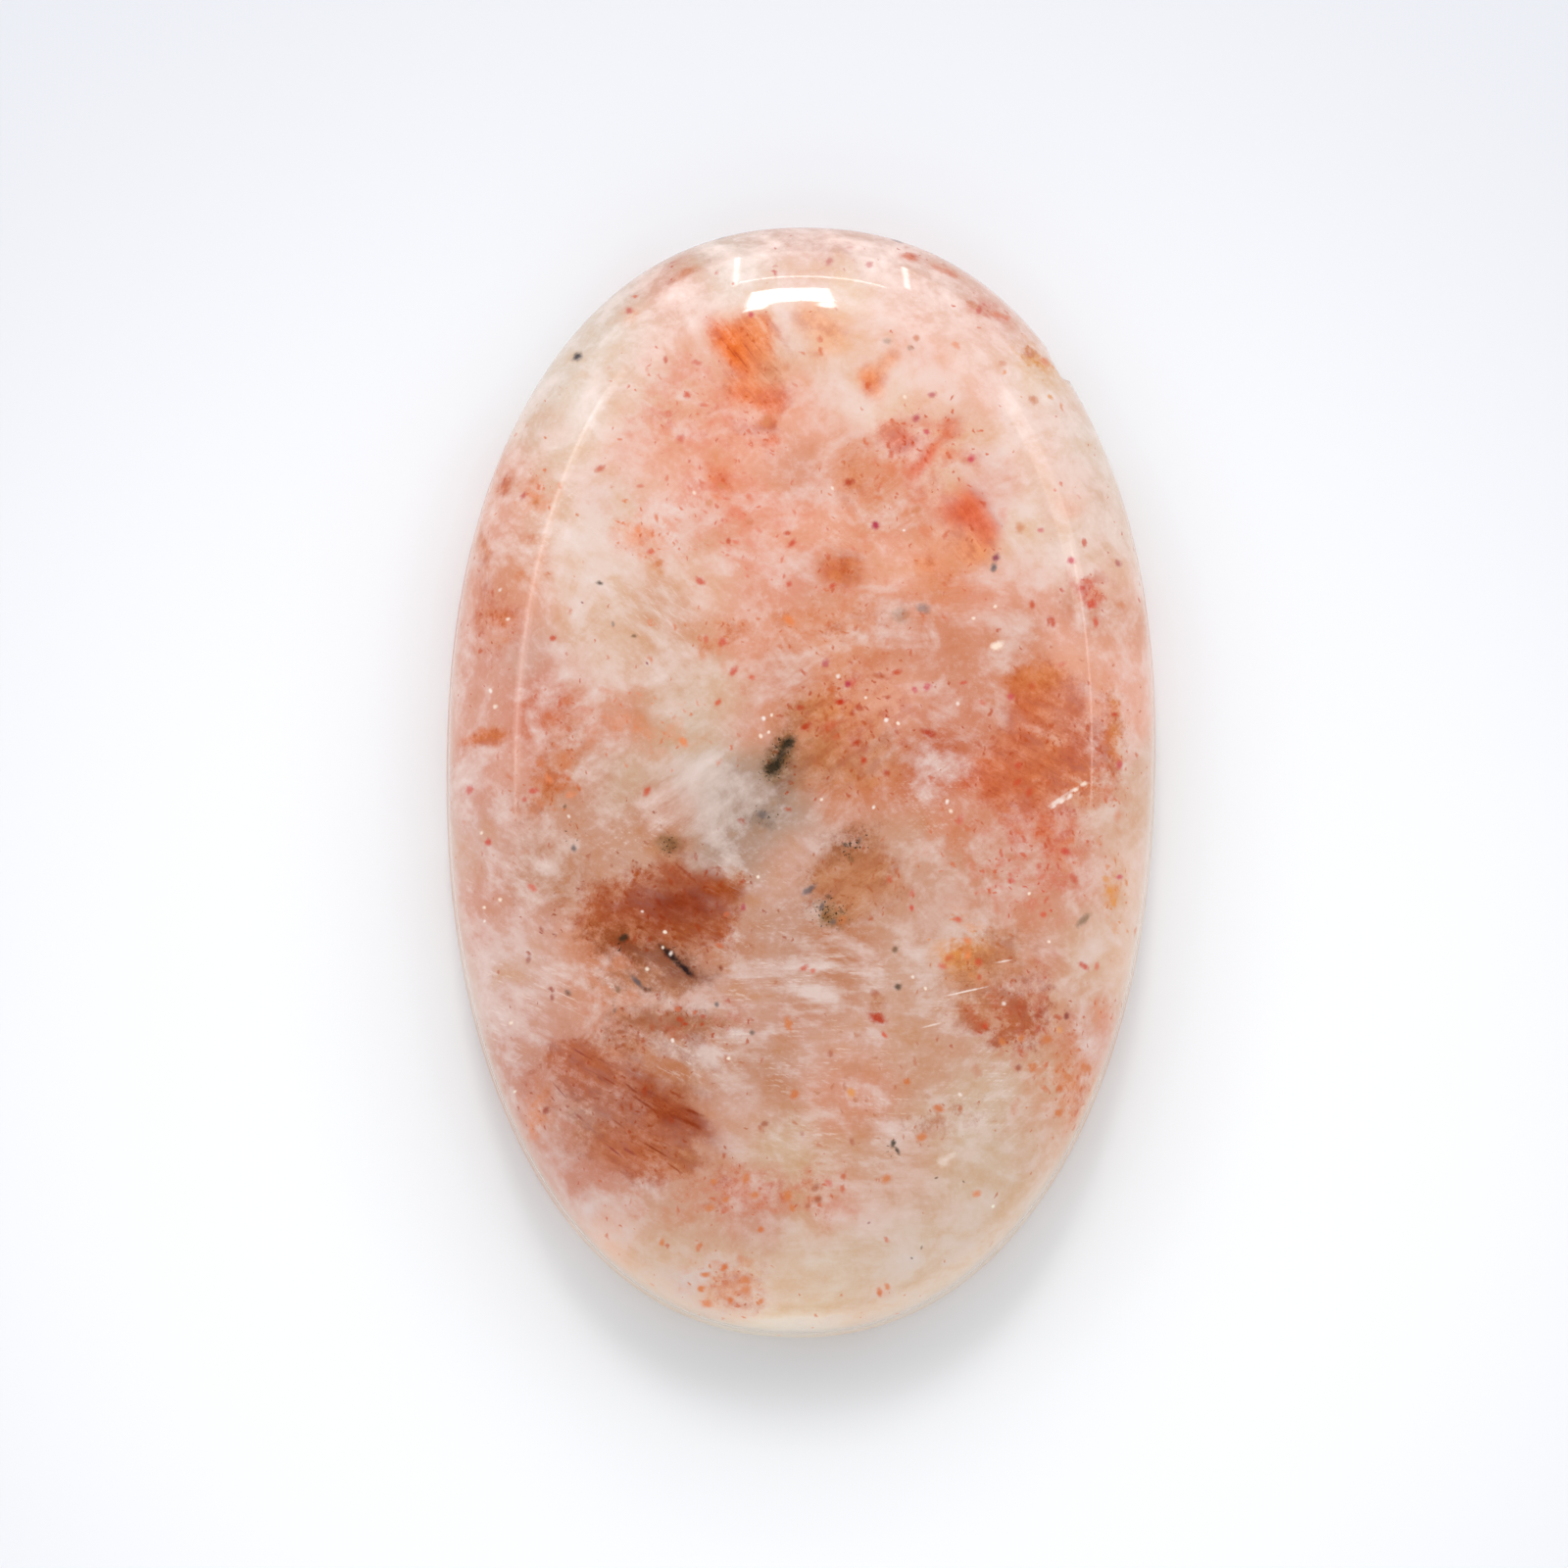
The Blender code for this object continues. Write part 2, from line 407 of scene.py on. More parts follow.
# Coloured patches, as: pixel, half length and half width in mm, turn in degrees, tone, strength,
# crispness of the edge, graininess
patches = [
    # the vivid orange patch near the top, and its neighbours
    (748, 357, 1.3, 0.52, -58, "vividOrange", 0.92, 2.6, 0.4),
    (768, 346, 1.1, 0.55, -52, "orange", 0.8, 2.5, 0.4),
    (783, 378, 0.95, 0.8, 0, "sandPink", 0.6, 2.0, 0.4),
    (760, 402, 0.8, 0.45, -20, "deepOrange", 0.7, 2.5, 0.4),
    (790, 407, 0.65, 0.5, 10, "orangeRed", 0.66, 2.5, 0.5),
    (783, 432, 0.4, 0.32, 0, "rustOrange", 0.66, 2.5, 0.5),
    (772, 436, 0.9, 1.2, 0, "deepOrange", 0.45, 2.0, 0.5),
    (788, 449, 0.4, 0.24, 25, "orangeRed", 0.6, 3.0, 0.6),
    (776, 332, 0.8, 0.55, -20, "orange", 0.55, 2.2, 0.4),
    (838, 331, 0.95, 0.65, -20, "peach", 0.66, 2.2, 0.3),
    (822, 318, 0.6, 0.45, 0, "peach", 0.3, 2.2, 0.3), (840, 360, 0.7, 0.45, 0, "peach", 0.45, 2.0, 0.4),
    (889, 391, 0.55, 0.72, 30, "orange", 0.8, 2.5, 0.3),
    (908, 368, 0.6, 0.42, 30, "peachOrange", 0.6, 2.5, 0.3),
    (869, 495, 0.8, 1.2, -10, "orangeBrown", 0.54, 2.2, 0.5),
    (700, 425, 2.3, 1.5, -40, "coralPink", 0.22, 2.0, 0.7),
    (733, 496, 0.7, 0.9, 10, "deepOrange", 0.5, 2.3, 0.5),
    (760, 530, 0.55, 0.2, -55, "coral", 0.45, 3.0, 0.5),
    (651, 547, 0.85, 0.6, 10, "orange", 0.6, 2.3, 0.4),
    (668, 580, 0.4, 0.35, 0, "yellowOrange", 0.4, 2.5, 0.7),
    # the coral and red ones on the right
    (940, 448, 2.1, 1.3, 10, "orangeRed", 0.31, 2.0, 0.3),
    (921, 450, 0.66, 0.42, -25, "strongRed", 0.56, 2.2, 0.4),
    (905, 437, 0.55, 0.45, 0, "orange", 0.4, 2.2, 0.6),
    (946, 467, 0.95, 0.26, 54, "strongRed", 0.8, 2.3, 0.2),
    (966, 436, 0.55, 0.42, -20, "orangeRed", 0.45, 2.2, 0.4),
    (967, 463, 0.28, 0.24, 0, "coral", 0.55, 3.0, 0.4),
    (990, 468, 0.45, 0.28, 0, "coralPink", 0.5, 2.5, 0.5),
    (987, 522, 0.9, 0.78, 0, "strongRed", 0.86, 2.4, 0.15),
    (1004, 540, 0.72, 0.42, -60, "strongRed", 0.66, 3.0, 0.15),
    (978, 520, 0.6, 0.45, 20, "orangeRed", 0.5, 2.2, 0.2),
    (996, 558, 0.7, 0.5, -30, "peachOrange", 0.7, 2.2, 0.2),
    (972, 560, 1.3, 1.1, 10, "peachOrange", 0.5, 2.0, 0.4),
    (968, 604, 1.5, 1.0, 0, "peachOrange", 0.42, 2.0, 0.5),
    (944, 573, 0.5, 0.32, -10, "peachOrange", 0.5, 2.5, 0.4),
    (859, 583, 0.86, 0.74, 0, "orangeBrown", 0.84, 3.0, 0.35),
    (742, 640, 1.15, 0.6, 5, "tanOrange", 0.45, 2.2, 0.7),
    (806, 632, 0.6, 0.36, 0, "tanOrange", 0.42, 2.5, 0.7),
    (720, 660, 0.5, 0.36, 0, "ochre", 0.36, 2.5, 0.7),
    (1114, 603, 0.55, 0.55, 0, "deepOrange", 0.6, 3.0, 0.8),
    (1092, 518, 0.6, 0.5, 0, "peach", 0.5, 2.0, 0.3), (944, 505, 1.0, 0.9, 0, "orangeRed", 0.4, 2.0, 0.5),
    # the left edge
    (516, 492, 0.3, 0.6, -15, "orangeBrown", 0.66, 2.2, 0.6),
    (545, 500, 0.4, 0.8, 0, "peachOrange", 0.45, 2.2, 0.7),
    (492, 556, 1.1, 0.26, -75, "tanOrange", 0.6, 2.5, 0.6),
    (488, 600, 0.6, 1.6, 8, "ochre", 0.34, 2.0, 0.5),
    (514, 632, 0.95, 0.38, -12, "orangeBrown", 0.76, 2.5, 0.6),
    (512, 652, 0.5, 0.24, 0, "tanOrange", 0.5, 2.5, 0.7),
    (492, 754, 1.0, 0.4, 0, "orangeBrown", 0.84, 2.5, 0.6),
    (570, 728, 0.7, 0.9, 0, "rustOrange", 0.32, 2.0, 0.8),
    (562, 797, 0.95, 0.6, 40, "orangeBrown", 0.4, 2.2, 0.9),
    (580, 762, 1.2, 1.5, 0, "warmSand", 0.5, 2.0, 0.6), (545, 822, 0.9, 0.7, 0, "tan", 0.45, 2.0, 0.7),
    # the large patch on the right
    (1076, 722, 1.9, 1.45, 90, "brickPale", 0.66, 2.4, 0.5),
    (1068, 790, 1.85, 1.25, 0, "brickPale", 0.76, 2.6, 0.5),
    (1022, 787, 1.15, 1.1, 0, "brick", 0.66, 2.0, 0.6),
    (1094, 770, 0.8, 0.75, 0, "amberBrown", 0.72, 2.3, 0.5),
    (1044, 730, 0.7, 1.6, 0, "brick", 0.62, 2.6, 0.5),
    (1056, 692, 1.05, 0.55, 5, "ochre", 0.74, 2.6, 0.8),
    (1096, 752, 0.55, 1.2, 0, "amberBrown", 0.5, 2.3, 0.5),
    (998, 792, 1.2, 0.9, 0, "coralPink", 0.36, 2.0, 0.9),
    (1130, 756, 0.55, 1.7, 0, "amberBrown", 0.5, 2.0, 0.6),
    (1104, 801, 0.8, 0.6, 0, "orangeBrown", 0.5, 2.0, 0.9),
    (1058, 846, 1.6, 0.9, 0, "orangeRed", 0.42, 2.0, 0.7),
    (1090, 880, 0.8, 1.1, 0, "peachOrange", 0.35, 2.0, 0.8),
    (1138, 744, 0.34, 1.6, 0, "yellowOrange", 0.52, 2.0, 0.9),
    (1132, 912, 0.32, 0.6, 0, "yellowOrange", 0.55, 3.0, 0.8),
    # the middle
    (862, 742, 1.4, 1.6, 0, "tanOrange", 0.42, 2.0, 0.6),
    (848, 718, 0.9, 0.6, 0, "tanOrange", 0.45, 2.5, 0.7),
    (905, 800, 1.3, 0.9, 0, "tanOrange", 0.28, 2.0, 0.6), (875, 775, 1.5, 1.1, 0, "tan", 0.6, 2.0, 0.6),
    (820, 722, 0.95, 0.65, 20, "tan", 0.55, 2.0, 0.7), (828, 772, 1.0, 1.4, 0, "khaki", 0.6, 2.0, 0.5),
    (797, 788, 0.75, 0.95, 0, "smoke", 0.5, 2.2, 0.4),
    (768, 733, 0.9, 0.7, 0, "warmSand", 0.35, 2.0, 0.5),
    (911, 633, 1.2, 1.0, 0, "orangeBrown", 0.31, 2.0, 0.6),
    (861, 640, 0.95, 0.75, 0, "ochre", 0.42, 2.0, 0.7),
    (778, 834, 0.75, 0.5, -10, "blueGrey", 0.6, 2.0, 0.6),
    (795, 771, 0.95, 0.42, 66, "olive", 0.62, 2.5, 0.9),
    (868, 862, 0.95, 0.66, 30, "umber", 0.66, 2.3, 0.8), (878, 900, 1.62, 1.42, 0, "tan", 0.82, 2.8, 0.6),
    (846, 934, 0.7, 0.45, 0, "oliveGrey", 0.62, 2.5, 0.9),
    (828, 896, 0.6, 0.6, 0, "khaki", 0.45, 2.0, 0.8), (683, 862, 0.42, 0.34, 0, "olive", 0.74, 3.0, 0.7),
    (692, 868, 0.9, 0.7, 0, "dustTan", 0.6, 2.0, 0.5),
    # the rust patch on the lower left
    (700, 924, 1.35, 0.62, -12, "rustDeep", 0.97, 2.6, 0.1),
    (654, 930, 1.4, 0.78, -8, "deepBrown", 0.77, 2.2, 0.4),
    (684, 950, 1.45, 0.66, 0, "rustGold", 0.7, 2.5, 0.5),
    (730, 906, 0.9, 0.44, -14, "rustGlow", 0.96, 3.0, 0.15),
    (704, 908, 1.2, 0.4, -12, "rustGold", 0.48, 2.5, 0.2),
    (742, 906, 0.66, 0.6, 0, "rustGold", 0.66, 2.5, 0.4),
    (648, 900, 1.2, 0.45, 5, "clayBrown", 0.42, 2.0, 1.0),
    (612, 930, 1.15, 0.95, 0, "clayBrown", 0.55, 2.0, 0.9),
    (640, 962, 1.4, 0.8, -15, "umber", 0.74, 2.5, 0.8),
    (690, 984, 1.4, 0.6, -25, "mauveBrown", 0.8, 2.5, 0.6),
    (734, 948, 0.9, 0.8, 0, "clayBrown", 0.58, 2.0, 1.0), (750, 893, 0.6, 0.5, 0, "tan", 0.55, 2.0, 0.8),
    (690, 895, 0.9, 0.35, -40, "redBrown", 0.62, 3.0, 0.5),
    (664, 1003, 1.5, 0.6, -10, "dustTan", 0.8, 2.5, 0.7),
    (676, 1042, 2.2, 0.52, -4, "dustTan", 0.84, 2.5, 0.7),
    (700, 1066, 0.8, 0.5, -4, "dustTan", 0.5, 2.0, 0.7),
    (638, 1066, 1.2, 0.45, -15, "khaki", 0.4, 2.2, 0.8),
    (612, 1010, 0.7, 0.3, -15, "khaki", 0.4, 2.2, 0.9),
    # the red brown patch below it
    (655, 1128, 2.6, 1.4, -30, "rust", 0.71, 2.4, 0.4),
    (682, 1133, 1.5, 0.4, -28, "deepBrown", 0.84, 2.5, 0.3),
    (598, 1092, 1.5, 0.85, -30, "clayBrown", 0.66, 2.5, 0.7),
    (650, 1172, 1.8, 0.8, -12, "clayBrown", 0.72, 2.2, 0.5),
    (600, 1146, 1.4, 1.1, -30, "khaki", 0.4, 2.0, 0.7),
    (580, 1085, 1.0, 0.8, -20, "clayBrown", 0.55, 2.5, 0.7),
    (712, 1098, 0.8, 0.6, 0, "khaki", 0.5, 2.0, 0.6), (698, 1182, 0.75, 0.5, 0, "khaki", 0.45, 2.5, 0.6),
    (546, 1136, 0.6, 1.0, 0, "tanOrange", 0.58, 2.0, 0.8),
    # the lower right
    (1038, 1038, 1.6, 1.05, -10, "clayBrown", 0.72, 2.5, 0.8),
    (966, 1040, 1.1, 0.8, 0, "tan", 0.24, 2.0, 0.6), (975, 1136, 1.2, 0.8, 0, "tan", 0.35, 2.0, 0.8),
    (1062, 1012, 0.7, 0.5, -40, "redBrown", 0.35, 2.5, 0.8),
    (1016, 1047, 0.8, 0.6, 0, "clayBrown", 0.5, 2.2, 0.8),
    (984, 972, 0.75, 0.65, 0, "yellowOrange", 0.55, 2.5, 0.8),
    (994, 1000, 1.3, 1.0, 0, "tan", 0.6, 2.2, 0.6), (1020, 968, 1.3, 0.95, 0, "tan", 0.72, 2.2, 0.6),
    (996, 1032, 0.9, 0.6, 0, "tan", 0.62, 2.2, 0.6),
    (1094, 1106, 0.9, 1.3, -20, "tanOrange", 0.58, 2.2, 0.8),
    (893, 1022, 0.35, 0.6, 0, "tan", 0.55, 2.5, 0.6),
    (1128, 1040, 0.5, 1.2, 20, "peachOrange", 0.4, 2.0, 0.7),
    # the lower end
    (748, 1312, 1.5, 1.05, 0, "ochre", 0.6, 2.2, 0.6),
    (826, 1214, 1.1, 0.8, 0, "brickPale", 0.26, 2.0, 0.9),
    (935, 1150, 1.2, 0.6, 0, "khaki", 0.28, 2.0, 0.8),
    (900, 1316, 0.4, 0.28, 0, "peachOrange", 0.45, 2.5, 0.6),
    (757, 1214, 1.4, 1.0, 0, "brick", 0.56, 2.0, 0.7),
    (666, 1196, 0.9, 0.6, 0, "clayBrown", 0.5, 2.0, 0.8),
    # the upper edge
    (699, 281, 0.7, 0.3, 25, "tanOrange", 0.62, 2.5, 0.4),
    (690, 266, 0.7, 0.26, 35, "tanOrange", 0.4, 2.2, 0.5),
    (928, 263, 0.42, 0.28, -20, "orange", 0.7, 2.5, 0.5),
    (964, 275, 0.8, 0.36, -35, "orange", 0.5, 2.2, 0.6), (642, 322, 0.4, 0.5, 0, "peach", 0.5, 2.5, 0.5),
    (996, 313, 0.5, 0.34, -20, "peachOrange", 0.36, 2.5, 0.7),
    (1052, 364, 0.7, 0.42, -20, "goldOrange", 0.55, 2.5, 0.8),
]


# Where the stone is full of small platelets: pixel, half length, half width, turn, tone, density
grains = [
    (715, 410, 2.6, 2.2, 0, "coral", 0.5), (735, 520, 1.8, 1.6, 0, "coral", 0.5),
    (655, 545, 1.0, 0.8, 0, "orange", 0.7), (875, 500, 1.2, 1.4, 0, "tanOrange", 0.55),
    (940, 460, 1.8, 1.4, 0, "orangeRed", 0.6), (830, 640, 2.4, 0.8, 0, "ochre", 0.6),
    (850, 560, 4.0, 2.6, 0, "coral", 0.3), (1065, 775, 2.4, 2.9, 0, "brickDeep", 0.62),
    (1050, 890, 2.2, 1.7, 0, "coralRed", 0.55), (880, 735, 2.4, 2.3, 0, "scarlet", 0.48),
    (665, 930, 3.4, 1.7, 0, "deepBrown", 0.5), (870, 910, 1.8, 1.6, 0, "tan", 0.55),
    (640, 1130, 3.0, 2.0, -30, "rust", 0.45), (1036, 1036, 1.7, 1.3, 0, "scarlet", 0.75),
    (985, 970, 1.0, 1.0, 0, "yellowOrange", 0.8), (700, 1042, 2.1, 0.7, 0, "scarlet", 0.62),
    (572, 730, 1.0, 1.1, 0, "brick", 0.6), (562, 796, 1.3, 0.9, 40, "orangeBrown", 0.75),
    (743, 1306, 1.5, 1.1, 0, "ochre", 0.58), (828, 1214, 1.5, 1.1, 0, "brick", 0.52),
    (1090, 1112, 1.1, 1.4, 0, "ochre", 0.6), (1132, 915, 0.6, 1.1, 0, "yellowOrange", 0.75),
    (1110, 605, 0.9, 0.9, 0, "vermilion", 0.62), (1052, 364, 0.9, 0.6, -20, "goldOrange", 0.75),
    (505, 640, 1.1, 1.5, 0, "rustOrange", 0.55), (545, 505, 0.7, 1.0, 0, "orange", 0.5),
    (840, 270, 2.6, 0.9, 0, "vermilion", 0.14), (1010, 318, 1.2, 0.6, -20, "orangeRed", 0.36),
    (660, 740, 2.2, 1.0, 0, "peachOrange", 0.42), (860, 1100, 4.0, 2.2, 0, "tan", 0.26),
    (960, 860, 2.0, 2.0, 0, "tanOrange", 0.26), (1080, 1080, 1.6, 1.4, 0, "tanOrange", 0.4),
    (500, 850, 1.4, 3.0, 0, "pinkSoft", 0.25), (640, 500, 2.0, 2.0, 0, "tanOrange", 0.2),
    (900, 640, 2.0, 1.6, 0, "tanOrange", 0.28), (740, 650, 1.8, 1.0, 0, "tanOrange", 0.42),
    (690, 1225, 3.2, 1.3, -10, "brickPale", 0.32), (1135, 770, 0.7, 2.6, 0, "orange", 0.42),
    (930, 1150, 1.6, 1.1, 0, "tan", 0.4),
]


# Fine white fibres: pixel, half length, half width, turn, density
fibres = [
    (830, 1020, 3.6, 3.2, 0, 0.85), (530, 1030, 2.0, 2.6, 0, 0.75), (690, 1075, 2.4, 0.9, 0, 0.8),
    (1025, 1105, 1.8, 1.6, 0, 0.75), (985, 1010, 1.6, 1.2, 0, 0.6), (500, 880, 1.4, 2.4, 0, 0.6),
    (660, 600, 2.2, 2.4, 0, 0.5), (560, 520, 1.6, 2.2, 0, 0.4), (760, 900, 1.4, 1.6, 0, 0.6),
    (870, 1150, 3.0, 1.8, 0, 0.65), (640, 850, 2.0, 1.2, 0, 0.5), (950, 800, 2.0, 2.2, 0, 0.45),
    (900, 560, 3.6, 2.4, 0, 0.25), (640, 1000, 2.6, 1.0, 0, 0.7), (1110, 760, 1.0, 2.4, 0, 0.3),
]


# How the stone's grain runs: pixel, reach in mm, turn in degrees, streakiness of patches
combing = [
    (760, 365, 2.4, -53, 0.85), (640, 1130, 3.2, -30, 0.8), (830, 1020, 3.4, -5, 0.35),
    (1020, 1105, 2.2, 20, 0.45), (985, 1012, 1.8, 15, 0.5), (500, 875, 2.4, -40, 0.45),
    (660, 600, 3.0, -40, 0.3), (1060, 770, 2.6, -25, 0.55), (850, 1160, 3.0, -10, 0.35),
    (690, 925, 2.2, -28, 0.5), (540, 1020, 2.2, -20, 0.45), (920, 450, 2.4, 40, 0.45),
    (985, 540, 1.8, -60, 0.35), (700, 430, 2.4, -35, 0.25), (860, 740, 2.4, 30, 0.3),
    (900, 1280, 3.0, 5, 0.2), (880, 900, 1.8, 50, 0.3), (500, 620, 2.4, -70, 0.35),
    (1090, 900, 2.0, 60, 0.3), (960, 640, 2.4, 10, 0.2), (720, 800, 2.0, 35, 0.3),
]
grainTurns = (-52, -26, 2, 38)     # the directions that the grain is mixed from, in degrees


# Dark dust: pixel, half length, half width, turn, density
dust = [
    (797, 768, 0.8, 0.42, 62, 0.62), (787, 786, 0.5, 0.4, 40, 0.62), (846, 930, 0.8, 0.6, 0, 0.66),
    (872, 864, 0.7, 0.45, 40, 0.6), (681, 863, 0.42, 0.32, 0, 0.6), (778, 832, 0.6, 0.4, 0, 0.35),
    (686, 975, 0.7, 0.42, -40, 0.3), (634, 962, 0.38, 0.3, 0, 0.45), (705, 1030, 1.2, 0.4, 0, 0.22),
    (628, 1020, 0.7, 0.6, 0, 0.18), (585, 850, 0.45, 0.7, 0, 0.2), (912, 1172, 0.3, 0.45, 0, 0.35),
]


# Single marks, as: pixel, half length, half width, turn, tone, strength. Rows with the glint tone are
# painted glints.
singles = [
    (683, 974, 0.46, 0.15, -42, "black", 0.92), (699, 989, 0.44, 0.14, -42, "black", 0.95),
    (636, 957, 0.2, 0.16, 30, "greenBlack", 0.85), (650, 1002, 0.3, 0.1, -45, "slate", 0.8),
    (804, 759, 0.33, 0.23, 40, "greenBlack", 0.92), (797, 770, 0.28, 0.2, 60, "greenBlack", 0.8),
    (789, 783, 0.38, 0.27, 50, "greenBlack", 0.9), (589, 364, 0.2, 0.17, 60, "slate", 0.96),
    (612, 595, 0.14, 0.08, -15, "greenBlack", 0.8), (1016, 569, 0.17, 0.13, 60, "plum", 0.85),
    (1014, 579, 0.17, 0.12, 70, "slate", 0.85), (911, 1167, 0.15, 0.1, 70, "greenBlack", 0.85),
    (915, 1174, 0.17, 0.07, -60, "greenBlack", 0.85), (916, 246, 0.22, 0.09, -20, "plum", 0.8),
    (735, 243, 0.22, 0.07, 15, "slate", 0.45), (825, 908, 0.3, 0.13, 35, "slate", 0.75),
    (947, 748, 0.28, 0.15, -20, "scarlet", 0.92), (895, 1039, 0.34, 0.2, -22, "scarlet", 0.95),
    (1113, 617, 0.24, 0.17, 20, "strongRed", 0.95), (866, 492, 0.22, 0.15, 15, "scarlet", 0.85),
    (700, 891, 0.55, 0.06, -42, "deepBrown", 0.7), (893, 536, 0.16, 0.15, 0, "magenta", 0.9),
    (996, 1218, 0.18, 0.13, 20, "tanOrange", 0.9), (664, 563, 0.14, 0.12, 0, "strongRed", 0.9),
    (1105, 939, 0.36, 0.13, 45, "oliveGrey", 0.75), (942, 621, 0.26, 0.18, 0, "slate", 0.5),
    (919, 628, 0.34, 0.28, 0, "oliveGrey", 0.4), (1106, 800, 0.16, 0.08, 24, "glint", 0.85),
    (1097, 806, 0.12, 0.07, 30, "glint", 0.95), (1091, 813, 0.13, 0.08, 50, "fissure", 0.9),
    (1083, 818, 0.11, 0.07, 34, "glint", 0.85), (1075, 823, 0.13, 0.06, 34, "fissure", 0.75),
    (1090, 809, 0.52, 0.05, 34, "fissure", 0.35), (1079, 818, 0.34, 0.09, 28, "fissure", 0.8),
    (1104, 799, 0.26, 0.06, 48, "fissure", 0.7), (984, 1012, 0.75, 0.035, 14, "fissure", 0.85),
    (1024, 981, 0.3, 0.035, 12, "fissure", 0.7), (951, 1046, 0.34, 0.035, 16, "fissure", 0.6),
    (1017, 659, 0.28, 0.15, 20, "glint", 0.95), (962, 1186, 0.22, 0.2, 0, "fissure", 0.45),
    (970, 1180, 0.25, 0.12, 30, "fissure", 0.4), (778, 831, 0.22, 0.14, 0, "slate", 0.55),
    (822, 741, 0.23, 0.12, 35, "scarlet", 0.85), (816, 722, 0.18, 0.12, 8, "scarlet", 0.8),
    (857, 716, 0.18, 0.11, 4, "fleckDeep", 0.95), (876, 722, 0.18, 0.12, -12, "scarlet", 0.8),
    (869, 728, 0.12, 0.1, 60, "scarlet", 0.8), (873, 758, 0.2, 0.11, 30, "scarlet", 0.85),
    (881, 776, 0.13, 0.13, 0, "fleckDeep", 0.8), (904, 789, 0.17, 0.13, -40, "scarlet", 0.75),
    (848, 703, 0.18, 0.15, 30, "rustOrange", 0.8), (868, 697, 0.24, 0.17, 20, "fleckRed", 0.6),
    (915, 686, 0.2, 0.11, 22, "vermilion", 0.85), (898, 690, 0.3, 0.11, -12, "brickDeep", 0.65),
    (847, 740, 0.26, 0.18, 30, "vermilion", 0.5), (853, 752, 0.18, 0.14, 20, "vermilion", 0.45),
    (905, 348, 0.17, 0.13, 0, "ashPink", 0.55), (929, 355, 0.14, 0.11, 0, "ashPink", 0.55),
    (591, 1074, 0.3, 0.04, -32, "deepBrown", 0.7), (621, 1103, 0.36, 0.04, -30, "deepBrown", 0.75),
    (643, 1110, 0.34, 0.04, -38, "rustDeep", 0.7), (657, 1126, 0.55, 0.05, -33, "rustDeep", 0.75),
    (690, 1117, 0.28, 0.05, -28, "deepBrown", 0.7), (707, 1135, 0.4, 0.06, -20, "rustDeep", 0.8),
    (704, 1146, 0.42, 0.1, -26, "rustDeep", 0.8), (630, 1146, 0.28, 0.04, -36, "deepBrown", 0.6),
    (626, 1174, 0.36, 0.04, -38, "deepBrown", 0.75), (642, 1175, 0.3, 0.06, -30, "deepBrown", 0.7),
    (668, 1173, 0.58, 0.04, -30, "rustDeep", 0.75), (688, 1192, 0.32, 0.04, -34, "deepBrown", 0.75),
    (571, 1113, 0.34, 0.03, -48, "deepBrown", 0.6), (591, 1140, 0.2, 0.05, -40, "deepBrown", 0.6),
]
